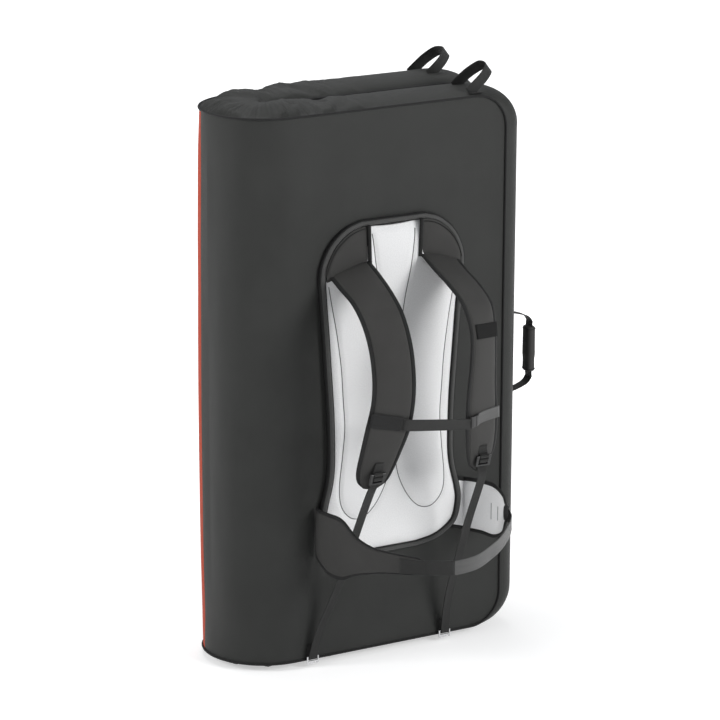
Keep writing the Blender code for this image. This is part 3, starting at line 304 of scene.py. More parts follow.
# %% Mesh helpers
def noise2(x, y, seed):
    """Smooth noise from -1 to 1 at points x, y, in units of its cells."""
    table = np.random.default_rng(seed).random((64, 64)) * 2 - 1
    x, y = np.asarray(x, float), np.asarray(y, float)
    x0, y0 = np.floor(x).astype(int), np.floor(y).astype(int)
    fx, fy = x - x0, y - y0
    fx, fy = fx * fx * (3 - 2 * fx), fy * fy * (3 - 2 * fy)
    a = table[x0 % 64, y0 % 64] * (1 - fx) + table[(x0 + 1) % 64, y0 % 64] * fx
    b = table[x0 % 64, (y0 + 1) % 64] * (1 - fx) + table[(x0 + 1) % 64, (y0 + 1) % 64] * fx
    return a * (1 - fy) + b * fy


def smooth_step(x, low, high):
    """0 below low, 1 above high, and a smooth rise between."""
    t = np.clip((np.asarray(x, float) - low) / (high - low), 0, 1)
    return t * t * (3 - 2 * t)


def stacked(*parts):
    """Coordinates given one by one, as one grid of points."""
    return np.stack(np.broadcast_arrays(*parts), axis=-1)


def run_length(points):
    """Distance along a row of points, from its first."""
    return np.concatenate([[0], np.cumsum(np.linalg.norm(np.diff(points, axis=0), axis=1))])


def turn_outward(piece, cap=None):
    """Turn all faces outward. With a cap, first close the open ends in that material."""
    bm = bmesh.new()
    bm.from_mesh(piece.data)
    if cap is not None:
        rims = [e for e in bm.edges if e.is_boundary]
        for face in bmesh.ops.holes_fill(bm, edges=rims, sides=0)["faces"]:
            face.material_index = cap
        bmesh.ops.triangulate(bm, faces=[f for f in bm.faces if len(f.verts) > 4])
    bmesh.ops.recalc_face_normals(bm, faces=bm.faces)
    bm.to_mesh(piece.data)
    bm.free()


def new_piece(name, mesh):
    """Link a mesh as a smooth piece."""
    mesh.shade_smooth()
    piece = bpy.data.objects.new(name, mesh)
    bpy.context.scene.collection.objects.link(piece)
    return piece


def from_grids(name, grids, materials, weld=0.0002, sharp=None):
    """One mesh from several grids: (points, uv, material index or grid of them, flip, wrap)."""
    verts, faces, uvs, slots = [], [], [], []
    for points, uv, index, flip, wrap in grids:
        rows, cols = points.shape[:2]
        i, j = (n.ravel() for n in np.mgrid[:rows - 1, :cols if wrap else cols - 1])
        k = (j + 1) % cols
        quad = np.stack([i * cols + j, (i + 1) * cols + j, (i + 1) * cols + k, i * cols + k], 1)
        place = uv.reshape(-1, 2)[quad]
        if wrap:
            last = k == 0
            width = uv[i[last], -1, 1] - uv[i[last], -2, 1]
            place[last, 2:] = place[last, 1::-1] + stacked(0, width)[:, None]
        way = -1 if flip else 1
        faces += (quad[:, ::way] + len(verts)).tolist()
        uvs.append(place[:, ::way].reshape(-1, 2))
        slots.append(index[i, j] if hasattr(index, "shape") else np.full(len(i), index))
        verts += points.reshape(-1, 3).tolist()
    mesh = bpy.data.meshes.new(name)
    mesh.from_pydata(verts, [], faces)
    layer = mesh.uv_layers.new(name="metres")
    layer.data.foreach_set("uv", np.vstack(uvs).astype(np.float32).ravel())
    mesh.polygons.foreach_set("material_index", np.concatenate(slots).astype(np.int32))
    for material in materials:
        mesh.materials.append(material)
    if weld:
        bm = bmesh.new()
        bm.from_mesh(mesh)
        bmesh.ops.remove_doubles(bm, verts=bm.verts, dist=weld)
        bm.to_mesh(mesh)
        bm.free()
    piece = new_piece(name, mesh)
    if sharp is not None:
        mesh.set_sharp_from_angle(angle=math.radians(sharp))
    return piece


def spline(points, steps):
    """A smooth run through points, with that many steps to each span."""
    p = np.array(points, float)
    p = np.vstack([2 * p[0] - p[1], p, 2 * p[-1] - p[-2]])
    made = []
    for a, b, c, d in zip(p, p[1:], p[2:], p[3:]):
        for t in np.linspace(0, 1, steps, endpoint=False):
            made.append(0.5 * (2 * b + (c - a) * t + (2 * a - 5 * b + 4 * c - d) * t * t
                               + (3 * b - a - 3 * c + d) * t**3))
    made.append(p[-2])
    return np.array(made)


def unit(rows):
    """Rows scaled to length one."""
    length = np.linalg.norm(rows, axis=-1, keepdims=True)
    return rows / np.maximum(length, 1e-9)


def band_frame(first, second):
    """Middle, half-side, normal and run length along a band between two edges."""
    middle, side = (first + second) / 2, (second - first) / 2
    along = np.gradient(middle, axis=0)
    normal = unit(np.cross(along, side))
    return middle, side, normal, run_length(middle)


def band(name, first, second, profile, materials, normal=None):
    """A closed band. profile lists (across share, height in metres, material) round it."""
    middle, side, up_way, run = band_frame(np.asarray(first, float), np.asarray(second, float))
    if normal is not None:
        up_way = np.asarray(normal, float)
    shape = (len(middle), len(profile))
    points = np.zeros((*shape, 3))
    for k, (share, height, _) in enumerate(profile):
        lift = np.broadcast_to(np.asarray(height, float), shape[:1])
        points[:, k] = middle + side * share + up_way * lift[:, None]
    index = np.broadcast_to([p[2] for p in profile], shape)
    step = np.linalg.norm(np.diff(points, axis=1), axis=2).mean(axis=0)
    round_it = np.concatenate([[0], np.cumsum(step)])[None]
    uv = stacked(run[:, None], round_it)
    piece = from_grids(name, [(points, uv, index, False, True)], materials, weld=0)
    turn_outward(piece, cap=len(materials) - 1)
    return piece


def flat_profile(thickness=0.0016):
    """A webbing section with rounded selvedges and a slightly fuller edge."""
    h = thickness / 2
    top = [(-1.0, 0.0), (-0.98, h * 0.9), (-0.90, h * 1.15), (-0.80, h), (-0.4, h * 0.92),
           (0.0, h * 0.92), (0.4, h * 0.92), (0.80, h), (0.90, h * 1.15), (0.98, h * 0.9)]
    return [(u, v, 0) for u, v in top + [(1.0, 0.0)] + [(u, -v) for u, v in top[:0:-1]]]


PAD_STEPS = (0.0, 0.25, 0.45, 0.6, 0.72, 0.82, 0.9, 0.96)
TRIM_STEPS = ((0.10, 0.95), (0.28, 1.10), (0.62, 1.05), (0.88, 0.80), (1.0, 0.0))
FRONT_CLOTH, BACK_CLOTH, TRIM = 0, 1, 2


def pad_profile(width, half, edge, tape, tape_half):
    """A foam strap's section: crowned faces that draw in to a bound edge."""
    bound = tape / (width / 2)
    inner = 1 - bound
    faces = [(t * inner, edge + (half - edge) * math.sqrt(max(0.0, 1 - t**2.6)))
             for t in PAD_STEPS]
    trim = [(inner, edge * 0.72)] + [(inner + bound * t, tape_half * h) for t, h in TRIM_STEPS]
    ring = []
    for u_way, outward, inward in ((1, 1, -1), (-1, -1, 1)):
        for way, part in ((outward, faces[0 if u_way > 0 else 1:] + trim),
                          (inward, (faces[0 if u_way > 0 else 1:] + trim[:-1])[::-1])):
            for u, h in part:
                face = FRONT_CLOTH if way > 0 else BACK_CLOTH
                ring.append((u_way * u, way * h, TRIM if (u, h) in trim else face))
    return [(u, h, ring[(k + 1) % len(ring)][2] if m == TRIM else m)
            for k, (u, h, m) in enumerate(ring)]


def cord_tube(name, points, radius, material=TAPE, closed=False, sides=10):
    """A sewn cord or bead along points, as a mesh tube."""
    points = np.asarray(points, float)
    after, before = np.roll(points, -1, 0), np.roll(points, 1, 0)
    along = unit(after - before if closed else np.gradient(points, axis=0))
    ref = np.zeros(3)
    ref[int(np.argmin(np.abs(along).mean(axis=0)))] = 1
    a = unit(np.cross(along, ref))
    b = np.cross(along, a)
    turns = np.linspace(0, 2 * math.pi, sides, endpoint=False)
    ring = (a[:, None] * np.cos(turns)[None, :, None] + b[:, None] * np.sin(turns)[None, :, None])
    tube = points[:, None] + ring * radius
    uv = stacked(run_length(points)[:, None], turns[None] * radius)
    if closed:
        tube = np.concatenate([tube, tube[:1]])
        uv = np.concatenate([uv, uv[-1:] + 0.004])
    return from_grids(name, [(tube, uv, 0, False, True)], [material],
                      weld=0.00005)


def harness(side, depth, height):
    """A point of the harness: side from its middle, depth out from the pad's face."""
    return np.array((HARNESS_X + side, FACE_Y - depth, height))

# %% [markdown]
# The cover of one half is one skin: a face, an arched wall round three sides and the
# landing side. Its cloth has slow folds, and it gathers where the wall meets the fold.

# %% Cover
def arch(depth, bulge, full=0.0):
    """How far the arched wall stands out past its seam. full mixes in a squarer arch."""
    radius = ((THICK / 2) ** 2 + bulge**2) / (2 * bulge)
    round_arch = bulge - radius + np.sqrt(radius**2 - (depth - THICK / 2) ** 2)
    off = np.clip(np.abs(2 * depth / THICK - 1), 0, 1)
    return round_arch * (1 - full) + full * bulge * (1 - off**2.6) ** (1 / 2.2)


def face_fold(run, height):
    """Slow folds of the outer face, by distance from the fold's start and height."""
    near = 1 - smooth_step(run, 0.02, 0.34)
    bands = np.sin(run * 46 + 1.1 + 0.35 * np.sin(height * 4.0)) * 0.0024
    ripple = noise2(run * 14 + 7, height * 3.2, 3) * 0.0018
    fine = noise2(run * 45 + 3, height * 9, 5) * 0.0004
    sleeve = smooth_step(height, BOTTOM_SEAM, 0.10) * (1 - smooth_step(height, 1.05, TOP_SEAM))
    return (bands * near + ripple * (0.35 + 0.65 * near) + fine) * sleeve - 0.0008 * sleeve


def wall_gather(run, depth, upper):
    """Gathers of the wall, strong by the fold and fading along the run."""
    strength = 1 - smooth_step(run, 0.04, 0.30)
    calm = smooth_step(depth, 0.0, 0.012) * (1 - smooth_step(depth, THICK - 0.010, THICK))
    seed = 11 if upper else 13
    folds = noise2(run * 60 + depth * 22, depth * 16 + 5, seed) * 0.0048
    folds = folds + noise2(run * 110, depth * 30, seed + 1) * 0.0020
    slow = noise2(run * 12 + depth * 14, depth * 10, seed + 2) * 0.0020
    return (folds * strength + slow) * calm


def ray_gather(run, depth):
    """Small gathers that spread from the outer seam, close together round the fold."""
    rim = smooth_step(depth, 0.045, 0.105) * (1 - smooth_step(depth, THICK - 0.008, THICK))
    fine = noise2(run * 130 + 9, depth * 10, 31) + 0.6 * noise2(run * 260 + 4, depth * 14, 33)
    return fine * 0.0019 * rim * (1 - smooth_step(run, 0.05, 0.20))


def round_half(runs, turns, shares):
    """The seam round a half's face: run, height, outward way and length at each place."""
    flat, quarter = RUN - CORNER, CORNER * math.pi / 2
    drop = TOP_SEAM - BOTTOM_SEAM - 2 * CORNER
    arcs = [(a, flat + CORNER * math.sin(a), CORNER * (1 - math.cos(a))) for a in turns]
    rows = [(r, TOP_SEAM, 0, 1, r) for r in runs]
    rows += [(x, TOP_SEAM - fall, math.sin(a), math.cos(a), flat + CORNER * a)
             for a, x, fall in arcs]
    rows += [(RUN, TOP_SEAM - CORNER - drop * t, 1, 0, flat + quarter + drop * t)
             for t in shares[1:-1]]
    rows += [(x, BOTTOM_SEAM + fall, math.sin(a), -math.cos(a),
              flat + quarter * 2 + drop - CORNER * a) for a, x, fall in arcs[::-1]]
    rows += [(r, BOTTOM_SEAM, 0, -1, flat * 2 + quarter * 2 + drop - r) for r in runs[::-1]]
    rows = np.array(rows)
    return rows[:, 0], rows[:, 1], rows[:, 2:4], rows[:, 4]


def half_cover(name, side, body, face_material, nodes):
    """Face, wall and landing side of one half, as one welded skin."""
    depths = THICK * (1 - np.cos(np.linspace(0, math.pi, 31))) / 2
    runs = np.concatenate([np.linspace(0, 0.30, 76)[:-1], np.linspace(0.30, RUN - CORNER, 22)])
    turns = np.linspace(0, math.pi / 2, 15)[1:]
    shares = np.linspace(0, 1, 97)

    def place(run, depth, height):
        return stacked(FOLD_X + run, INNER_Y - side * depth, height)

    seam_run = np.concatenate([runs, RUN - CORNER + CORNER * np.sin(turns)])
    seam_drop = np.concatenate([np.zeros(len(runs)), CORNER * (1 - np.cos(turns))])
    top, low = TOP_SEAM - seam_drop, BOTTOM_SEAM + seam_drop
    z = low[:, None] + (top - low)[:, None] * shares[None]
    x = np.broadcast_to(seam_run[:, None], z.shape)
    face = place(x, THICK + face_fold(x, z) * smooth_step(RUN - x, 0.0, 0.03), z)
    landing = place(x, LANDING_INSET, z)
    uv = stacked(x, z)
    path_run, path_z, normal, length = round_half(runs, turns, shares)
    corner = smooth_step(np.arctan2(normal[:, 0], np.abs(normal[:, 1])), 0, math.pi / 2)
    bulge = EDGE_BULGE + (END_BULGE - EDGE_BULGE) * corner
    q, along = depths[None], path_run[:, None]
    sideways = np.clip(normal[:, 0], 0, 1)
    upright = np.clip(normal[:, 1], 0, 1) * smooth_step(path_run, 0.02, 0.10)
    if side > 0:
        bulge, full = bulge - 0.0040 * upright, sideways
    else:
        bulge, full = bulge + 0.0035 * upright, 0.7 * upright
    out = arch(q, bulge[:, None], full[:, None])
    upper = (normal[:, 1] > 0)[:, None]
    gather = np.where(upper, wall_gather(along, q, True), wall_gather(along, q, False) * 0.5)
    out = out + gather + np.where(upper, ray_gather(along, q), 0)
    wall = place(along + normal[:, 0:1] * out, q, path_z[:, None] + normal[:, 1:2] * out)
    wall[:, :, 2] = np.maximum(wall[:, :, 2], FLOOR_CLEAR)
    wall_uv = stacked(length[:, None], q * 1.1)
    flip = side > 0
    grids = [(face, uv, 0, not flip, False), (landing, uv, 2, flip, False),
             (wall, wall_uv, 1, flip, False)]
    piece = from_grids(name, grids, [face_material, WALL, LANDING], sharp=50)
    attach(piece, body)
    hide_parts(*nodes)
    return piece


parts_of_half = ("face_panel", "wall_band", "landing_panel", "landing_foam", "core_foam",
                 "base_foam")
for half, side, cloth_face in (("front", 1, SHELL), ("back", -1, ORANGE)):
    cover = half_cover(f"{half}_cover", side, f"{half}_half", cloth_face,
                       [f"{half}_{p}" for p in parts_of_half])
    print(cover.name, len(cover.data.polygons), "faces")

# %% [markdown]
# The fold is six skins, one for each hinge. A skin runs from the middle of one stave to the
# middle of the next, and the first and last skins end at the halves. The landing cloth runs
# round the narrow inner core.

# %% Fold
def fold_place(angle, radius, height):
    """A point of the fold by its angle from the front face."""
    x = FOLD_X - radius * np.sin(angle)
    y = INNER_Y - radius * np.cos(angle)
    return stacked(x, y, height)


def bend_at_hinge(piece):
    """Bake a fold piece's place into its mesh."""
    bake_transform(piece)


CORE_RADIUS, SKIN_BEND = 0.004, 0.0010
fold_depths = CORE_RADIUS + (THICK - CORE_RADIUS) * (1 - np.cos(np.linspace(0, math.pi, 27))) / 2
core_low = np.maximum(BOTTOM_SEAM - arch(fold_depths[0], EDGE_BULGE), FLOOR_CLEAR)
core_high = TOP_SEAM + arch(fold_depths[0], EDGE_BULGE)
core_z = (core_low + (core_high - core_low) * np.linspace(0, 1, 25))[None]
shares = np.linspace(0, 1, 97)[None]
z = BOTTOM_SEAM + (TOP_SEAM - BOTTOM_SEAM) * shares
q = fold_depths[None]
for k in range(6):
    angles = (STAVE_STEP * k + STAVE_STEP * np.linspace(0, 1, 25))[:, None]
    run = -THICK * angles
    near_half = np.minimum(angles, math.pi - angles)
    radius = THICK + face_fold(-THICK * near_half, z)
    round_out = smooth_step(-run, 0.0, 0.10) * (1 - smooth_step(-run, 0.30, 0.396))
    radius = radius + round_out * np.sin(np.pi * shares) ** 0.6 * 0.0042
    outer = fold_place(angles, radius, z)
    orange = np.where(run[:-1] < ORANGE_FROM, 1, 0)
    colour = np.broadcast_to(orange, (len(run) - 1, z.size - 1))
    grids = [(outer, stacked(run, z), colour, False, False)]
    for upper in (True, False):
        lift = arch(q, EDGE_BULGE) + wall_gather(-q * near_half * 0.5, q, upper)
        lift = lift + ray_gather(-near_half * THICK, q)
        height = TOP_SEAM + lift if upper else np.maximum(BOTTOM_SEAM - lift, FLOOR_CLEAR)
        wall = fold_place(angles, q, height)
        grids.append((wall, stacked(run, q * 1.1), 2, not upper, False))
    core = fold_place(angles, CORE_RADIUS, core_z)
    grids.append((core, stacked(run, core_z), 3, True, False))
    skin = from_grids(f"fold_skin_{k + 1}", grids, [SHELL, ORANGE, WALL, LANDING],
                      sharp=50)
    bend_at_hinge(skin)
    if k < 5:
        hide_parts(f"fold_cover_{k + 1}", f"fold_foam_{k + 1}")
print("fold skins", 6)

# %% [markdown]
# Piping is a cord sewn into the seam round each face. It follows the same path as the wall.
# On the fold it is cut at the middle of each stave, into one length for each skin.

# %% Piping
def seam_path(side, depth, out=0.0):
    """The seam round one half's outer face, from the fold's top round to its bottom."""
    run, height, normal, _ = round_half(np.linspace(0, RUN - CORNER, 60),
                                        np.linspace(0, math.pi / 2, 16)[1:],
                                        np.linspace(0, 1, 60))
    height = np.maximum(height + normal[:, 1] * out, PIPING_FLOOR)
    return stacked(FOLD_X + run + normal[:, 0] * out, INNER_Y - side * depth, height)


PIPING_FLOOR = 0.003
# The inner piping's radius is larger than real piping, as painted shade for the slot between the
# halves.
PIPING, INNER_PIPING_AND_SLOT_SHADE, PIPING_BEND = 0.0026, 0.0032, 0.007
for half, side in HALVES:
    cord = cord_tube(f"{half}_edge_piping", seam_path(side, THICK + PIPING_OUT), PIPING)
    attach(cord, f"{half}_half")
    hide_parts(f"{half}_piping")
    # Real inner piping, set out from the seam and made thick, so that its dark line also stands in
    # for the shade in the slot between the halves.
    inner_cord_and_slot_shade = cord_tube(f"{half}_inner_piping_and_slot_shade", seam_path(side, 0.0034, 0.0030),
                           INNER_PIPING_AND_SLOT_SHADE, sides=8)
    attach(inner_cord_and_slot_shade, f"{half}_half")
for k in range(6):
    angles = STAVE_STEP * k + STAVE_STEP * np.linspace(0, 1, 25)
    for word, height in (("upper", TOP_SEAM), ("lower", BOTTOM_SEAM)):
        cord = cord_tube(f"fold_piping_{word}_{k + 1}",
                         fold_place(angles, THICK + PIPING_OUT, max(height, PIPING_FLOOR)),
                         PIPING, sides=8)
        bend_at_hinge(cord)
print("piping done")

# %% [markdown]
# The back panel is a foam pad between mesh and cloth. It draws in to its taped edge and to
# the seams that split it into two lobes, so its height comes from the distance to each.

# %% Back panel
PANEL_TOP, PANEL_HEIGHT, PANEL_HALF = 0.918, 0.690, 0.170
PANEL_ROWS = ((0.000, 0.36), (0.010, 0.60), (0.032, 0.78), (0.060, 0.89), (0.115, 0.935),
              (0.160, 0.91), (0.230, 0.84), (0.300, 0.815), (0.430, 0.825), (0.560, 0.860),
              (0.680, 0.895), (0.790, 0.932), (0.860, 0.945), (0.905, 0.905), (0.950, 0.795),
              (0.985, 0.620), (1.000, 0.440))
outline_right = spline([(PANEL_HALF * w, PANEL_TOP - PANEL_HEIGHT * (1 - s))
                        for s, w in PANEL_ROWS], 6)
LOBE = ((0.052, 0.915), (0.047, 0.870), (0.040, 0.820), (0.025, 0.750), (0.014, 0.660),
        (0.008, 0.550), (0.006, 0.460), (0.010, 0.394), (0.032, 0.342), (0.062, 0.309),
        (0.094, 0.305), (0.119, 0.330), (0.125, 0.370), (0.118, 0.440), (0.113, 0.500),
        (0.117, 0.560), (0.122, 0.630), (0.132, 0.700), (0.143, 0.760), (0.150, 0.800))
lobe_right = spline(LOBE, 8)
lobe_left = lobe_right * np.array((-1, 1))


def away_from(points, line):
    """Distance from each point to the nearest point of a line, all in the panel's plane."""
    best = np.full(points.shape[:-1], 9.0)
    for a, b in zip(line, line[1:]):
        span = b - a
        t = np.clip(((points - a) @ span) / (span @ span), 0, 1)
        best = np.minimum(best, np.linalg.norm(points - a - t[..., None] * span, axis=-1))
    return best


def panel_height(points):
    """How far the padded panel's front stands off the cover."""
    border = np.vstack([outline_right, outline_right[::-1] * np.array((-1, 1)),
                        outline_right[:1]])
    rim = away_from(points, border)
    seam = np.minimum(away_from(points, lobe_right), away_from(points, lobe_left))
    swell = 1 - np.exp(-(rim / 0.016) ** 1.3)
    groove = np.exp(-((seam / 0.0055) ** 2)) * 0.0022 + np.exp(-seam / 0.020) * 0.0010
    body = 0.0040 + 0.0106 * swell - groove * smooth_step(rim, 0.0, 0.02)
    return body + noise2(points[..., 0] * 22, points[..., 1] * 14, 21) * 0.0005


def neck_dip(plan):
    """The panel's top edge dips between the yokes, so its top rows are moved down."""
    drop = 0.0075 * np.clip(1 - np.abs(plan[..., 0] / 0.070) ** 2.5, 0, 1)
    return drop * smooth_step(plan[..., 1], 0.84, PANEL_TOP)


def panel_place(plan, lift):
    """Points of the panel's plane at a height off the cover."""
    return stacked(HARNESS_X + plan[..., 0], FACE_Y - lift, plan[..., 1])


def padded_sheet(name, plan, lift, base, material, sharp=None):
    """A closed sheet over a grid of the panel's plane: its front, its back and its rim."""
    front, back = panel_place(plan, lift), panel_place(plan, base)
    rims = [np.concatenate([a[0], a[1:, -1], a[-1, ::-1][1:], a[::-1, 0][1:]])
            for a in (front, back)]
    skirt = np.stack(rims, axis=1)
    skirt_uv = stacked(skirt[..., 0] + skirt[..., 2], skirt[..., 1])
    return from_grids(name, [(front, plan, 0, False, False), (back, plan, 0, True, False),
                             (skirt, skirt_uv, 0, True, False)], [material], sharp=sharp)


heights = np.linspace(outline_right[0, 1], outline_right[-1, 1], 232)
half_width = np.interp(heights, outline_right[:, 1], outline_right[:, 0])
even = np.linspace(-1, 1, 121)
across = np.sin(even * math.pi / 2) * 0.35 + even * 0.65
plan = stacked(half_width[:, None] * across, heights[:, None])
lift = panel_height(plan)
plan = plan - stacked(0, neck_dip(plan))
panel = padded_sheet("padded_back_panel", plan, lift, 0.0005, LIGHT)
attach(panel, "front_half")
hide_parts("back_panel")


def sewn_line(name, line, radius, material, body):
    """A thin seam thread along a line."""
    thread = cord_tube(name, line, radius, material, sides=6)
    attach(thread, body)


for word, lobe in (("left", lobe_left), ("right", lobe_right)):
    line = lobe[lobe[:, 1] < 0.902]
    sewn_line(f"{word}_lobe_seam", panel_place(line, panel_height(line) + 0.0002), 0.0009, THREAD,
              "front_half")
border = np.vstack([outline_right, (outline_right * np.array((-1, 1)))[::-1]])
along = np.roll(border, -1, 0) - np.roll(border, 1, 0)
outward = unit(stacked(along[:, 1], -along[:, 0]))
border = border - stacked(0, neck_dip(border))
BOUND = ((-1.0, 0.0012), (-0.97, 0.0040), (-0.86, 0.0056), (-0.70, 0.0058), (-0.62, 0.0047),
         (-0.54, 0.0064), (-0.2, 0.0070), (0.2, 0.0068), (0.50, 0.0058), (0.60, 0.0044),
         (0.70, 0.0050), (0.86, 0.0040), (0.97, 0.0022), (1.0, 0.0006))
BOUND_OUT, BOUND_WIDE, BOUND_BASE = 0.0030, 0.0072, 0.0042
GREY_FROM, GREY_TO = 4, 8
middle = border + outward * BOUND_OUT
section = [(a, BOUND_BASE + h) for a, h in BOUND] + [(1.0, 0.0006), (-1.0, 0.0006)]
ring = np.stack([panel_place(middle + outward * BOUND_WIDE * a, h) for a, h in section], axis=1)
ring = np.vstack([ring, ring[:1]])
count = len(section)
shade = np.tile([int(GREY_FROM <= k <= GREY_TO) for k in range(count)], (len(ring), 1))
ring_uv = stacked(run_length(ring[:, 0])[:, None], np.arange(count)[None] * 0.0012)
tape = from_grids("panel_edge_tape", [(ring, ring_uv, shade, False, True)], [TAPE, BINDING],
                  weld=0.00005)
turn_outward(tape)
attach(tape, "front_half")
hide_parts("panel_binding")
print("panel", len(panel.data.polygons), "faces")

# %% [markdown]
# A yoke is a stiff sewn patch. It is a crowned sheet between two edges, and tape covers its
# free edges.

# %% Yokes
def patch_between(name, low_edge, high_edge, base, thick, material):
    """A closed crowned patch between two edges of equal count, in the panel's plane."""
    v = np.linspace(0, 1, 25)
    plan = low_edge[:, None] * (1 - v)[None, :, None] + high_edge[:, None] * v[None, :, None]
    u = np.linspace(0, 1, len(low_edge))[:, None]
    crown = (1 - np.abs(2 * u - 1) ** 6) * (1 - np.abs(2 * v[None] - 1) ** 4)
    piece = padded_sheet(name, plan, base + thick * (0.45 + 0.55 * crown), base, material,
                         sharp=60)
    turn_outward(piece)
    return piece


near_top = outline_right[(outline_right[:, 1] > 0.829) & (outline_right[:, 0] > 0.078)][::-1]
YOKE_NECK, YOKE_INSET, YOKE_BASE, YOKE_THICK = 0.062, 0.0015, 0.0086, 0.0095
YOKE_OUTER = np.vstack([[(YOKE_NECK, near_top[0, 1])], near_top - YOKE_INSET])
YOKE_LOWER = spline(((0.0590, 0.8400), (0.080, 0.8345), (0.1013, 0.8280), (0.120, 0.8215),
                     (0.1400, 0.8155), (0.1560, 0.8110)), 8)
for word, hand in HANDS:
    flip = np.array((hand, 1))
    pick = np.linspace(0, 1, 40)
    outer_edge, lower_edge = (np.stack([np.interp(pick, np.linspace(0, 1, len(e)), e[:, c])
                                        for c in (0, 1)], axis=1) * flip
                              for e in (YOKE_OUTER, YOKE_LOWER))
    yoke = patch_between(f"{word}_yoke_patch", lower_edge, outer_edge, YOKE_BASE, YOKE_THICK,
                         PADDED)
    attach(yoke, "front_half")
    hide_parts(f"{word}_yoke")
    neck = np.linspace(outer_edge[0] + np.array((0, 0.002)), lower_edge[0], 12)
    trim = cord_tube(f"{word}_yoke_tape", panel_place(neck, 0.0160), 0.0040)
    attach(trim, "front_half")
    for part, edge, shift, lift in (("lower", lower_edge, 0.003, 0.0172),
                                    ("upper", outer_edge, -0.004, 0.0160)):
        sewn_line(f"{word}_yoke_{part}_stitch", panel_place(edge + np.array((0, shift)), lift),
                  0.0009, TAPE, "front_half")
print("yokes done")

# %% [markdown]
# A shoulder strap is foam between two cloths, with tape sewn over both edges. Its section is
# swept between the strap's inner and outer edges.

# %% Shoulder straps
STRAP_THICK, STRAP_THIN = 0.014, 0.008
STRAP_TOP, STRAP_DROP, STRAP_SIDE, STRAP_DEPTH = 0.846, 0.436, 0.162, 0.202
INNER_EDGE = ((0.0026, 0.36, 0.064), (0.0512, 0.365, 0.31), (0.1052, 0.39, 0.57),
              (0.1741, 0.415, 0.80), (0.2887, 0.42, 0.96), (0.4265, 0.395, 1.00),
              (0.5643, 0.377, 0.975), (0.7021, 0.40, 0.92), (0.8167, 0.465, 0.842),
              (0.908, 0.531, 0.777), (0.966, 0.60, 0.735), (1.000, 0.73, 0.708))
OUTER_EDGE = ((0.0552, 0.945, 0.064), (0.0968, 0.94, 0.26), (0.1397, 0.94, 0.495),
              (0.2086, 0.95, 0.70), (0.3120, 0.92, 0.797), (0.4377, 0.90, 0.842),
              (0.5643, 0.907, 0.842), (0.7021, 0.963, 0.797), (0.8167, 1.00, 0.748),
              (0.908, 1.006, 0.688), (0.966, 0.957, 0.644), (1.000, 0.87, 0.640))
DEEP = (0.0, 0.55, 0.9, 1.0, 1.0, 1.0, 1.0, 1.0, 1.0, 0.9, 0.55, 0.0)


def strap_edge(table, hand, steps=8):
    """One edge of a strap as smooth points."""
    return spline([harness(hand * STRAP_SIDE * s, STRAP_DEPTH * d, STRAP_TOP - STRAP_DROP * t)
                   for t, s, d in table], steps)


def at_height(edge, height):
    """The point of a falling edge at one height."""
    k = int(np.argmax(edge[1:, 2] <= height))
    a, b = edge[k], edge[k + 1]
    return a + (b - a) * (a[2] - height) / (a[2] - b[2])


def smooth_scale(shares, count):
    """Shares along a band, as a smooth row of that length."""
    return np.interp(np.linspace(0, 1, count), np.linspace(0, 1, len(shares)), shares)


def padded_band(name, first, second, section, materials, scale):
    """A taped foam band between two edges. scale thins it along its length."""
    width = float(np.linalg.norm(first - second, axis=1).max())
    profile = [(u, h * scale, m) for u, h, m in pad_profile(width, *section)]
    return band(name, first, second, profile, materials)


# half thickness, thickness at the tape, tape width, half thickness of the tape
STRAP_SECTION = (0.0072, 0.0022, 0.0090, 0.0026)
WING_SECTION = (0.0056, 0.0020, 0.0085, 0.0024)
ROOT_SECTION = (0.0022, 0.0012, 0.0085, 0.0018)
for word, hand in HANDS:
    first, second = strap_edge(INNER_EDGE, hand), strap_edge(OUTER_EDGE, hand)
    if hand > 0:
        first, second = second, first
    crown = smooth_scale(DEEP, len(first))
    deep = (STRAP_THIN + (STRAP_THICK - STRAP_THIN) * crown) / STRAP_THICK
    strap = padded_band(f"{word}_padded_strap", first, second, STRAP_SECTION,
                        [PADDED, PADDED, TAPE], deep)
    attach(strap, f"{word}_strap")
    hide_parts(f"{word}_shoulder_strap")
    print(strap.name, len(strap.data.polygons), "faces")

# %% [markdown]
# Load webbing is a narrow woven strap. It goes round the ladder lock's bar, down past the
# hip wing, and round the hook's bar at the foot of the pad.

# %% Load webbing
LOCK_TILT, LOCK_HEIGHT, LOOP_RADIUS = math.radians(18), 0.025, 0.0042516
HOOK_LOOP_RADIUS = 0.003 / math.sqrt(2) + SEWN_GAP + WEB_HALF
LOAD_WIDTH, LOCK_SEAT = 0.020, 0.007 + LOOP_RADIUS + WEB_HALF + 0.0024
KEEPER_RADIUS, KEEPER_RISE, KEEPER_TOP = 0.0038, 0.0105, 0.472
LOCK_TOP = STRAP_TOP - STRAP_DROP
LOAD_RUN = {"left": ((0.829, 0.700, 0.96), (0.805, 0.421, 0.73), (0.895, 0.248, 0.47),
                     (0.980, 0.149, 0.32), (1.085, 0.099, 0.20)),
            "right": ((0.798, 0.725, 0.96), (0.812, 0.480, 0.71), (0.800, 0.290, 0.46),
                      (0.785, 0.180, 0.30), (0.790, 0.110, 0.18))}
ANCHOR = {"left": -0.187, "right": 0.131}
lock_up = np.array((0, -math.sin(LOCK_TILT), math.cos(LOCK_TILT)))
lock_front = np.array((0, -math.cos(LOCK_TILT), -math.sin(LOCK_TILT)))


def strap_sides(hand, steps, height):
    """The inner and outer edge points of a strap at one height."""
    return [at_height(strap_edge(t, hand, steps), height) for t in (INNER_EDGE, OUTER_EDGE)]


def lock_place(hand):
    """The middle bar of a ladder lock, on the strap's outer face."""
    return sum(strap_sides(hand, 2, LOCK_TOP + 0.030)) / 2 + lock_front * LOCK_SEAT


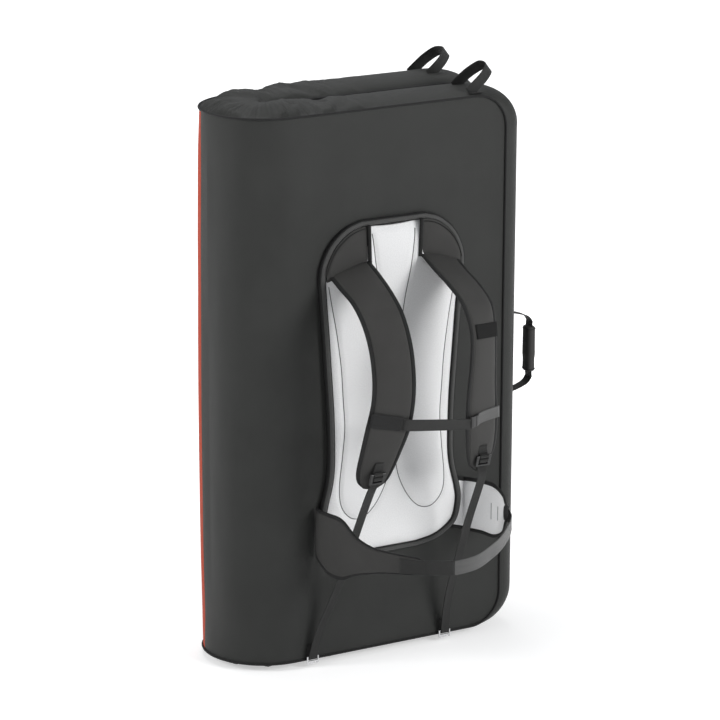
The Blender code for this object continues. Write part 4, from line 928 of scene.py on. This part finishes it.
def arc(centre, radius, degrees):
    """Points round a ladder lock's bar."""
    return [centre + (lock_front * math.cos(a) + lock_up * math.sin(a)) * radius
            for a in np.radians(degrees)]


def flat_ribbon(name, path, across, width, thickness=0.0016, material=WEBBING):
    """Webbing along a path, with a fixed or a changing way across it."""
    path = np.asarray(path, float)
    way = unit(np.broadcast_to(np.asarray(across, float), path.shape))
    wide = np.broadcast_to(np.asarray(width, float), (len(path),))[:, None] / 2
    normal = unit(np.cross(np.gradient(path, axis=0), way))
    return band(name, path - way * wide, path + way * wide,
                flat_profile(thickness), [material], normal=normal)


for word, hand in HANDS:
    top, foot = lock_place(hand), harness(ANCHOR[word], 0.0085, 0.0225)
    path = arc(top, LOOP_RADIUS, np.arange(-60, 181, 12))
    lower = [foot + np.array((0, -math.cos(a), math.sin(a))) * HOOK_LOOP_RADIUS
             for a in np.radians(np.arange(0, -256, -15))]
    start = path[-1] - lock_up * LOCK_HEIGHT * 0.58
    run = spline([start, *[harness(hand * STRAP_SIDE * s, STRAP_DEPTH * d, LOCK_TOP * z)
                           for s, d, z in LOAD_RUN[word]],
                  lower[0] + np.array((0, 0, 0.006))], 12)
    path = np.vstack([path, run, lower])
    strip = flat_ribbon(f"{word}_load_strap", path, (1, 0, 0), LOAD_WIDTH)
    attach(strip, f"{word}_strap")
    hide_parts(f"{word}_load_webbing")
    tail = [harness(ANCHOR[word], 0.0011, 0.021 + 0.024 * t) for t in np.linspace(0, 1, 9)]
    tab = flat_ribbon(f"{word}_sewn_tab", tail, (1, 0, 0), LOAD_WIDTH)
    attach(tab, "front_half")
    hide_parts(f"{word}_anchor_tab")
    keeper = arc(top + lock_up * KEEPER_RISE, KEEPER_RADIUS, np.arange(-100, 181, 20))
    high = sum(strap_sides(hand, 4, KEEPER_TOP)) / 2 + lock_front * 0.0085
    keeper = np.vstack([[keeper[0] - lock_up * 0.003], keeper,
                        spline([keeper[-1] + lock_up * 0.004, (keeper[-1] + high) / 2, high], 4)])
    hold = flat_ribbon(f"{word}_lock_keeper", keeper, (1, 0, 0), LOAD_WIDTH, 0.0013)
    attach(hold, f"{word}_strap")
print("load webbing done")

# %% [markdown]
# The sternum strap joins both shoulder straps. It lies on their outer faces, and a small
# slider buckle joins its two parts.

# %% Sternum strap
STERNUM_SEAT = STRAP_THICK / 2 + 0.0008 + WEB_HALF
STERNUM_HEIGHT, STERNUM_WIDTH = 0.545, 0.025
STERNUM_PLACES = {-1: ((0.04, 0.80), (0.5, 0.50), (0.75, 0.32), (1.02, 0.12)),
                  1: ((0.04, -0.25), (0.5, -0.29), (0.75, -0.38), (1.02, -0.62))}


def on_strap(hand, height, share, lift):
    """A point over a strap's outer face: share 0 at its outer edge and 1 at its inner edge."""
    inner, outer = strap_sides(hand, 2, height)
    way = inner - outer
    out = unit(np.array((-way[1] * hand, way[0] * hand, 0.0)))
    out = -out if out[1] > 0 else out
    return outer + way * share + out * lift


def edged_webbing(name, rows, material, thickness=0.0016, steps=8):
    """Webbing between two edges, each a row of places."""
    upper, lower = (spline(edge, steps) for edge in rows)
    return band(name, upper, lower, flat_profile(thickness), [material])


def sternum_rows(hand, half=STERNUM_WIDTH / 2, lift=STERNUM_SEAT):
    """Upper and lower edges of the sternum webbing on one strap, outer end first."""
    return np.array([[on_strap(hand, STERNUM_HEIGHT + STERNUM_WIDTH * slope + h, share, lift)
                      for share, slope in STERNUM_PLACES[hand]] for h in (half, -half)])


left_rows, right_rows = sternum_rows(-1), sternum_rows(1)
stop = right_rows[:, 3] + (right_rows[:, 2] - right_rows[:, 3]) * 0.25
edges = np.concatenate([left_rows, right_rows[:, 3:4], stop[:, None]], axis=1)
chest = edged_webbing("sternum_strap", edges, WEBBING)
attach(chest, "left_strap")
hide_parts("sternum_webbing")
toward = unit(right_rows[:, 1] - stop)
far = stop + toward * 0.0226
edges = np.concatenate([far[:, None], right_rows[:, 1:2], right_rows[:, 0:1]], axis=1)
# Its lighter grey is painted sheen on black webbing.
anchor = edged_webbing("sternum_hold", edges, PAINTED_SHEEN_WEBBING)
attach(anchor, "right_strap")
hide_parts("sternum_anchor")
sleeve_rows = sternum_rows(-1, 0.0150, STERNUM_SEAT + 0.0012)
cover = edged_webbing("sternum_sleeve", sleeve_rows[:, :3], TAPE, 0.0012)
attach(cover, "left_strap")
patch = np.array([[on_strap(1, top_height - drop, share, STRAP_THICK / 2 + 0.0012)
                   for share, top_height in ((0.07, 0.7265), (0.45, 0.7300), (0.86, 0.7340))]
                  for drop in (0.0, 0.0285)])
label = edged_webbing("plain_strap_patch", patch, PATCH, 0.0011, 6)
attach(label, "right_strap")
print("sternum strap done")

# %% [markdown]
# Each hip wing is a foam flap, dark outside and light mesh on the wearer's side. Its edges
# come from a table of places along it, and tape goes round it.

# %% Hip wings
WING_LENGTH, WING_ROOT, WING_DEPTH = 0.250, 0.1735, 0.0011
WING_MIDDLE, WING_TALL, WING_THICK = 0.265, 0.150, 0.011
LEFT_WING = ((0.008, -0.002, 0.148, 0.703), (0.007, 0.070, 0.106, 0.777),
             (-0.016, 0.176, 0.046, 0.888), (-0.066, 0.296, 0.015, 0.869),
             (-0.106, 0.456, -0.012, 0.56), (-0.154, 0.616, -0.005, 0.39),
             (-0.214, 0.732, 0.01, 0.32), (-0.294, 0.836, 0.01, 0.28), (-0.382, 0.940, 0.01, 0.25),
             (-0.422, 0.988, 0.01, 0.17))
RIGHT_WING = ((0.022, -0.002, 0.175, 0.783), (0.026, 0.040, 0.185, 0.782),
              (0.044, 0.100, 0.195, 0.785), (0.094, 0.190, 0.190, 0.790),
              (0.130, 0.310, 0.178, 0.780), (0.134, 0.430, 0.195, 0.580),
              (0.122, 0.495, 0.245, 0.260))


def wing_edges(hand, table, steps):
    """Upper and lower edges of a hip wing, from its root out to its tip."""
    made = []
    for sign in (1, -1):
        made.append(spline([harness(hand * (WING_ROOT + WING_LENGTH * inward),
                                    WING_DEPTH + WING_LENGTH * reach,
                                    WING_MIDDLE + WING_TALL * (lift + sign * height / 2))
                            for inward, reach, lift, height in table], steps))
    return made


for word, hand, table in (("left", -1, LEFT_WING), ("right", 1, RIGHT_WING)):
    upper, lower = wing_edges(hand, table, 8)
    thin = np.interp(np.arange(len(upper)), [0, 4, 10, len(upper) - 1], [0.2, 0.75, 1, 1])
    if hand > 0:
        upper, lower = lower, upper
    wing = padded_band(f"{word}_belt_wing", upper, lower, WING_SECTION, [LIGHT, PADDED, TAPE],
                       thin)
    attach(wing, f"{word}_wing")
    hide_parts(f"{word}_hip_wing")
    print(wing.name, len(wing.data.polygons), "faces")
ROOT_SIDES, ROOT_DEPTHS = (0.1500, 0.1650, 0.1800), (0.0030, 0.0034, 0.0050)
flap_top, flap_low = (spline([harness(*p) for p in zip(ROOT_SIDES, ROOT_DEPTHS, tall)], 8)
                      for tall in ((0.3580, 0.3530, 0.3490), (0.2430, 0.2385, 0.2345)))
flap = padded_band("right_belt_root", flap_low, flap_top, ROOT_SECTION, [LIGHT, PADDED, TAPE],
                   np.ones(len(flap_top)))
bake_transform(flap)
upper, lower = wing_edges(1, RIGHT_WING, 8)
middle, side, out, run = band_frame(upper, lower)
out = np.where(out[:, :1] > 0, -out, out)
for number, place in ((1, 0.66), (2, 0.78)):
    k = int(place * (len(upper) - 1))
    line = [middle[k] + side[k] * t + out[k] * 0.0056 for t in np.linspace(-0.30, 0.30, 12)]
    sewn_line(f"right_wing_stitch_{number}", np.array(line), 0.0007, THREAD, "right_wing")

# %% [markdown]
# The belt webbing is sewn to the left wing and reaches round to a side-release buckle by the
# right wing. The buckle's other half hangs on webbing that is sewn to the cover.

# %% Hip webbing
HIP_RUN = ((0.440, 1.040, 0.02), (0.630, 1.110, 0.0), (0.860, 1.076, 0.0), (1.060, 0.966, 0.02),
           (1.240, 0.840, 0.04), (1.430, 0.660, 0.06), (1.590, 0.460, 0.07), (1.660, 0.300, 0.08))


def moved_out(points, distance):
    """A plan path moved away from the wearer."""
    before = np.vstack([points[:1], points[:-1]])
    after = np.vstack([points[1:], points[-1:]])
    along = unit(after - before)
    return points + unit(stacked(along[:, 1], -along[:, 0], 0)) * distance


DOUBLED_TO, HIP_WIDTH = -0.035, 0.030
upper, lower = wing_edges(-1, LEFT_WING, 2)
on_wing = moved_out((upper + lower) / 2, WING_THICK / 2 + 0.0007 + WEB_HALF)[-5:]
run = spline([harness(-WING_ROOT + WING_LENGTH * a, WING_DEPTH + WING_LENGTH * d,
                      WING_MIDDLE + WING_TALL * h) for a, d, h in HIP_RUN], 2)
path = spline(np.vstack([on_wing, run]), 5)
# The belt's lighter grey is painted sheen on black webbing.
belt = flat_ribbon("hip_strap", path, (0, 0, 1), HIP_WIDTH, 0.0017, PAINTED_SHEEN_WEBBING)
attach(belt, "left_wing")
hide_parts("hip_webbing")
doubled = path[path[:, 0] < DOUBLED_TO]
# The doubled part is plain black webbing, so the belt's painted sheen shows only past it.
sleeve = flat_ribbon("hip_strap_sleeve", doubled, (0, 0, 1), 0.0312, 0.0032)
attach(sleeve, "left_wing")
print("belt doubled to", doubled[-1].round(3), "of", path[0].round(3), path[-1].round(3))
print("belt", round(float(run_length(path)[-1]), 3), "m")

# %% [markdown]
# The buckles are moulded bodies. Each is a loft: rounded sections that follow a line, with
# their own width and depth at each place.

# %% Buckles
def lofted(name, spine, wide_way, deep_way, wide, deep, full, material, sides=32):
    """A closed body through rounded sections along a line of places."""
    spine = np.asarray(spine, float)
    turns = np.linspace(0, 2 * math.pi, sides, endpoint=False)
    across, through = (np.sign(w) * np.abs(w) ** (2 / full)
                       for w in (np.cos(turns), np.sin(turns)))
    wide, deep = np.asarray(wide, float)[:, None], np.asarray(deep, float)[:, None]
    points = (spine[:, None] + unit(np.asarray(wide_way, float)) * (across * wide)[..., None]
              + unit(np.asarray(deep_way, float)) * (through * deep)[..., None])
    uv = stacked(run_length(spine)[:, None], turns[None] * float(wide.max()))
    piece = from_grids(name, [(points, uv, 0, False, True)], [material], weld=0.00005)
    turn_outward(piece)
    piece.data.set_sharp_from_angle(angle=math.radians(40))
    return piece


def buckle_body(name, start, along, length, height, thickness, shares):
    """A buckle half: (place along, height share, thickness share) from one end to the other."""
    rows = [(shares[0][0], 0.0, 0.0), *shares, (shares[-1][0], 0.0, 0.0)]
    deep_way = np.cross(along, (0, 0, 1))
    return lofted(name, [start + along * length * t for t, w, d in rows], (0, 0, 1), deep_way,
                  [height / 2 * w for t, w, d in rows], [thickness / 2 * d for t, w, d in rows],
                  4.5, PLASTIC)


along = path[-1] - path[-2]
along[2] = 0
along = unit(along)
BUCKLE_LENGTH, BUCKLE_TALL, BUCKLE_THICK, BUCKLE_GAP = 0.028, 0.038, 0.009, 0.0006
place = path[-1] + along * SEWN_GAP
male = buckle_body("hip_buckle_tongue", place, along, BUCKLE_LENGTH, BUCKLE_TALL, BUCKLE_THICK,
                   ((0.0, 0.84, 0.60), (0.06, 0.94, 0.80), (0.22, 1.0, 0.84), (0.26, 0.99, 0.62),
                    (0.48, 0.98, 0.62), (0.52, 1.0, 0.92), (0.80, 0.97, 1.0), (0.96, 0.90, 0.96),
                    (1.0, 0.86, 0.86)))
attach(male, "left_wing")
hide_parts("hip_buckle")
far = place + along * BUCKLE_LENGTH
female = buckle_body("hip_buckle_shell", far + along * BUCKLE_GAP, along, BUCKLE_LENGTH,
                     BUCKLE_TALL, BUCKLE_THICK,
                     ((0.0, 0.90, 0.90), (0.05, 0.98, 1.0), (0.16, 1.0, 1.0),
                      (0.24, 0.86, 0.94), (0.46, 0.84, 0.94), (0.56, 0.98, 0.98),
                      (0.70, 0.96, 0.84), (0.74, 0.93, 0.60), (0.92, 0.90, 0.56),
                      (1.0, 0.84, 0.44)))
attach(female, "hip_socket")
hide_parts("hip_buckle_socket")
far = far + along * (BUCKLE_GAP + BUCKLE_LENGTH)
HIP_FOLD, FACE_SEAT = 0.006, SEWN_GAP + WEB_HALF
socket_side, height = far[0] - HARNESS_X, path[-1][2]
fold_point = harness(socket_side + HIP_FOLD, FACE_SEAT + 2 * HIP_FOLD, height)
tail = spline([far + along * BUCKLE_GAP, far + along * HIP_FOLD / 3, fold_point,
               harness(socket_side + HIP_FOLD / 2, FACE_SEAT + HIP_FOLD / 3, height),
               harness(socket_side - HIP_FOLD, FACE_SEAT, height),
               harness(WING_ROOT + 0.011, FACE_SEAT, height)], 8)
socket_strap = flat_ribbon("hip_socket_strap", tail, (0, 0, 1), HIP_WIDTH)
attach(socket_strap, "front_half")
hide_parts("hip_socket_webbing")
way, rise = unit(toward.mean(axis=0)), unit(stop[0] - stop[1])
slider_start = (stop[0] + stop[1]) / 2 + np.array((0, -0.0022, 0))
SLIDER = ((0, 0, 0), (0, 0.0118, 0.0018), (0.06, 0.0132, 0.0028), (0.3, 0.0136, 0.0030),
          (0.34, 0.0130, 0.0020), (0.62, 0.0130, 0.0020), (0.66, 0.0136, 0.0030),
          (0.94, 0.0132, 0.0028), (1, 0.0118, 0.0018), (1, 0, 0))
slider_body = lofted("sternum_slider",
                     [slider_start + way * (SEWN_GAP + 0.022 * t) for t, w, d in SLIDER],
                     rise, np.cross(way, rise), [w for t, w, d in SLIDER],
                     [d for t, w, d in SLIDER], 5.0, PLASTIC)
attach(slider_body, "right_strap")
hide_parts("sternum_buckle")
print("buckles done")

# %% [markdown]
# The carrying loops and the side handles are webbing that is sewn down at both feet. The side
# handle has a soft sleeve round its middle, with sewn edges.

# %% Loops and handles
STRIP, LOOP_X, LOOP_RISE = 0.024, 0.430, 0.051
LOOP_LEAN = math.radians(52)
LOOP_THICK, LOOP_CLEAR, TAB_WIDTH = 0.0018, 0.0004, 0.014
HANDLE_ENDS, HANDLE_REACH = (0.668, 0.500), 0.044
GRIP_HALF, GRIP_WIDE, GRIP_DEEP, GRIP_EDGE = 0.050, 0.0150, 0.0105, 0.0435
# depths of the loops' sewn feet, and of the CAD feet that set their line
LOOP_FEET = {"front": (0.056, 0.114), "back": (0.040, 0.116)}
AXIS_FEET = {"front": (0.020, 0.114), "back": (0.040, 0.116)}
HANDLE_CURVE = ((0.72, 0.060), (1.0, 0.135), (1.0, 0.195), (1.0, 0.5), (1.0, 0.805),
                (1.0, 0.865), (0.72, 0.940))
CROWN = ((0.05, 0.45), (0.20, 0.86), (0.34, 1.0), (0.60, 1.03), (0.82, 0.92), (0.97, 0.50))
for half, side in HALVES:
    lean = np.array((math.sin(LOOP_LEAN), 0, math.cos(LOOP_LEAN)))
    way = np.array((math.cos(LOOP_LEAN), 0, -math.sin(LOOP_LEAN)))
    feet = [np.array((FOLD_X + LOOP_X, INNER_Y - side * d,
                      TOP_SEAM + float(arch(np.array(d), EDGE_BULGE)) + LOOP_CLEAR
                      + STRIP / 2)) for d in AXIS_FEET[half]]
    near, far = AXIS_FEET[half]
    share = (LOOP_FEET[half][0] - near) / (far - near)
    feet[0] = feet[0] + (feet[1] - feet[0]) * share
    span = feet[1] - feet[0]
    crown = [feet[0] + span * a + lean * LOOP_RISE * b for a, b in CROWN]
    run = spline([feet[0] - lean * 0.020, feet[0], *crown, feet[1], feet[1] - lean * 0.020], 10)
    strip = flat_ribbon(f"{half}_carry_loop", run, way, STRIP, LOOP_THICK)
    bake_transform(strip)
    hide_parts(f"{half}_top_loop")
    for number, foot in enumerate(feet):
        low = foot - np.array((0, 0, STRIP / 2 + 0.0012))
        pad = [low + np.array((t, 0, -0.0006)) for t in np.linspace(-0.016, 0.012, 9)]
        tab = flat_ribbon(f"{half}_loop_tab_{number + 1}", pad, (0, 1, 0), TAB_WIDTH)
        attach(tab, f"{half}_half")
    wall_x = FOLD_X + RUN + END_BULGE + LOOP_CLEAR + STRIP / 2
    ends = [np.array((wall_x, INNER_Y - side * THICK / 2, z)) for z in HANDLE_ENDS]
    reach, span = np.array((HANDLE_REACH, 0, 0)), ends[1] - ends[0]
    inward = np.array((-STRIP / 2, 0, 0))
    curve = [ends[0] + span * b + reach * a for a, b in HANDLE_CURVE]
    run = spline([ends[0] + inward, ends[0], *curve, ends[1], ends[1] + inward], 10)
    from_end = np.minimum(np.linspace(0, 1, len(run)), np.linspace(1, 0, len(run)))
    widths = STRIP * (0.35 + 0.65 * np.sqrt(smooth_step(from_end, 0.0, 0.055)))
    strip = flat_ribbon(f"{half}_handle_strap", run, (0, 1, 0), widths, LOOP_THICK)
    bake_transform(strip)
    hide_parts(f"{half}_side_handle")
    centre = (ends[0] + ends[1]) / 2 + reach
    end_turns = np.linspace(0.2, 1.57, 6)
    rows = np.concatenate([[-GRIP_HALF], -GRIP_HALF + 0.005 * (1 - np.cos(end_turns)),
                           np.linspace(-0.042, 0.042, 24),
                           GRIP_HALF - 0.005 * (1 - np.cos(end_turns[::-1])), [GRIP_HALF]])
    rounding = np.sin(np.linspace(0.35, 1.57, 6))
    close = np.concatenate([[0], rounding, np.ones(24), rounding[::-1], [0]])
    rough = 1 + 0.05 * noise2(rows * 90, rows * 0 + side, 41)
    grip = lofted(f"{half}_grip_sleeve", centre + np.outer(rows, (0, 0, 1)), (0, 1, 0), (1, 0, 0),
                  GRIP_WIDE * close * rough, GRIP_DEEP * close * rough, 2.6, PADDED)
    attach(grip, f"{half}_handle")
    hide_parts(f"{half}_side_grip")
    for number, edge in enumerate((-GRIP_EDGE, GRIP_EDGE)):
        turns = np.linspace(0, 2 * math.pi, 33)[:-1]
        deep, wide = (np.sign(w) * np.abs(w) ** 0.77 for w in (np.sin(turns), np.cos(turns)))
        hoop = centre + stacked(deep * (GRIP_DEEP + 0.0001), wide * (GRIP_WIDE + 0.0001), edge)
        ring_cord = cord_tube(f"{half}_grip_edge_{number + 1}", hoop, 0.0010, closed=True,
                              sides=6)
        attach(ring_cord, f"{half}_handle")
print("loops and handles done")

# %% [markdown]
# The zip runs up the back half's free edge. Its tape follows the arched wall, and its teeth
# are small moulded blocks that take turns to the left and right of the middle.

# %% Zip
ZIP_LOW, ZIP_HIGH, ZIP_DEPTH, ZIP_WIDE = 0.120, 1.040, 0.0345, 0.019
TOOTH_PITCH, TOOTH_SIZE, TOOTH_ASIDE = 0.0026, (0.0034, 0.0014, 0.0019, 1), 0.0007


def zip_point(depth, out):
    """A plan point by the back half's end wall, that far out from the cloth."""
    base, ahead = (np.array((FOLD_X + RUN + float(arch(np.array(d), END_BULGE)), INNER_Y + d))
                   for d in (depth, depth + 0.0005))
    way = unit(ahead - base)
    return base + np.array((way[1], -way[0])) * out, way


across_places = np.linspace(-1, 1, 11)
ring_plan = [zip_point(ZIP_DEPTH + ZIP_WIDE / 2 * t, out)[0]
             for out, row in ((0.0015, across_places), (0.0002, across_places[::-1])) for t in row]
heights_z = np.linspace(ZIP_LOW, ZIP_HIGH, 120)
tape_points = stacked(*np.transpose(ring_plan)[:, None], heights_z[:, None])
tape_uv = stacked(heights_z[:, None], np.arange(22)[None] * 0.0019)
zip_tape = from_grids("zip_cloth_tape", [(tape_points, tape_uv, 0, False, True)], [TAPE])
turn_outward(zip_tape, cap=0)
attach(zip_tape, "back_half")
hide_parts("zip_tape")
centre_plan, way = zip_point(ZIP_DEPTH, 0.0024)
out_way = np.array((way[1], -way[0]))
teeth = bmesh.new()
for number in range(int((ZIP_HIGH - ZIP_LOW - 0.004) / TOOTH_PITCH)):
    spot = centre_plan + way * (TOOTH_ASIDE if number % 2 else -TOOTH_ASIDE)
    height = ZIP_LOW + 0.002 + TOOTH_PITCH * number
    turned = Matrix(((way[0], out_way[0], 0, spot[0]), (way[1], out_way[1], 0, spot[1]),
                     (0, 0, 1, height), (0, 0, 0, 1)))
    bmesh.ops.create_cube(teeth, size=1.0, matrix=turned @ Matrix.Diagonal(TOOTH_SIZE))
mesh = bpy.data.meshes.new("zip_teeth")
teeth.to_mesh(mesh)
teeth.free()
mesh.materials.append(PLASTIC)
zip_teeth = bpy.data.objects.new("zip_teeth", mesh)
bpy.context.scene.collection.objects.link(zip_teeth)
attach(zip_teeth, "back_half")
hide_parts("zip_chain")
print("zip teeth", len(mesh.polygons) // 6)

# %% [markdown]
# The locks, hooks and zip slider are hard pieces whose CAD shape is right already. They stay
# and get moulded plastic or plated steel.

# %% Hard pieces
HARD = {"left_ladder_lock": PLASTIC, "right_ladder_lock": PLASTIC, "left_hook": STEEL,
        "right_hook": STEEL, "zip_slider": STEEL, "zip_pull": STEEL}
for node, material in HARD.items():
    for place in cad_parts[node].material_slots:
        place.material = material
print("hard pieces", len(HARD))
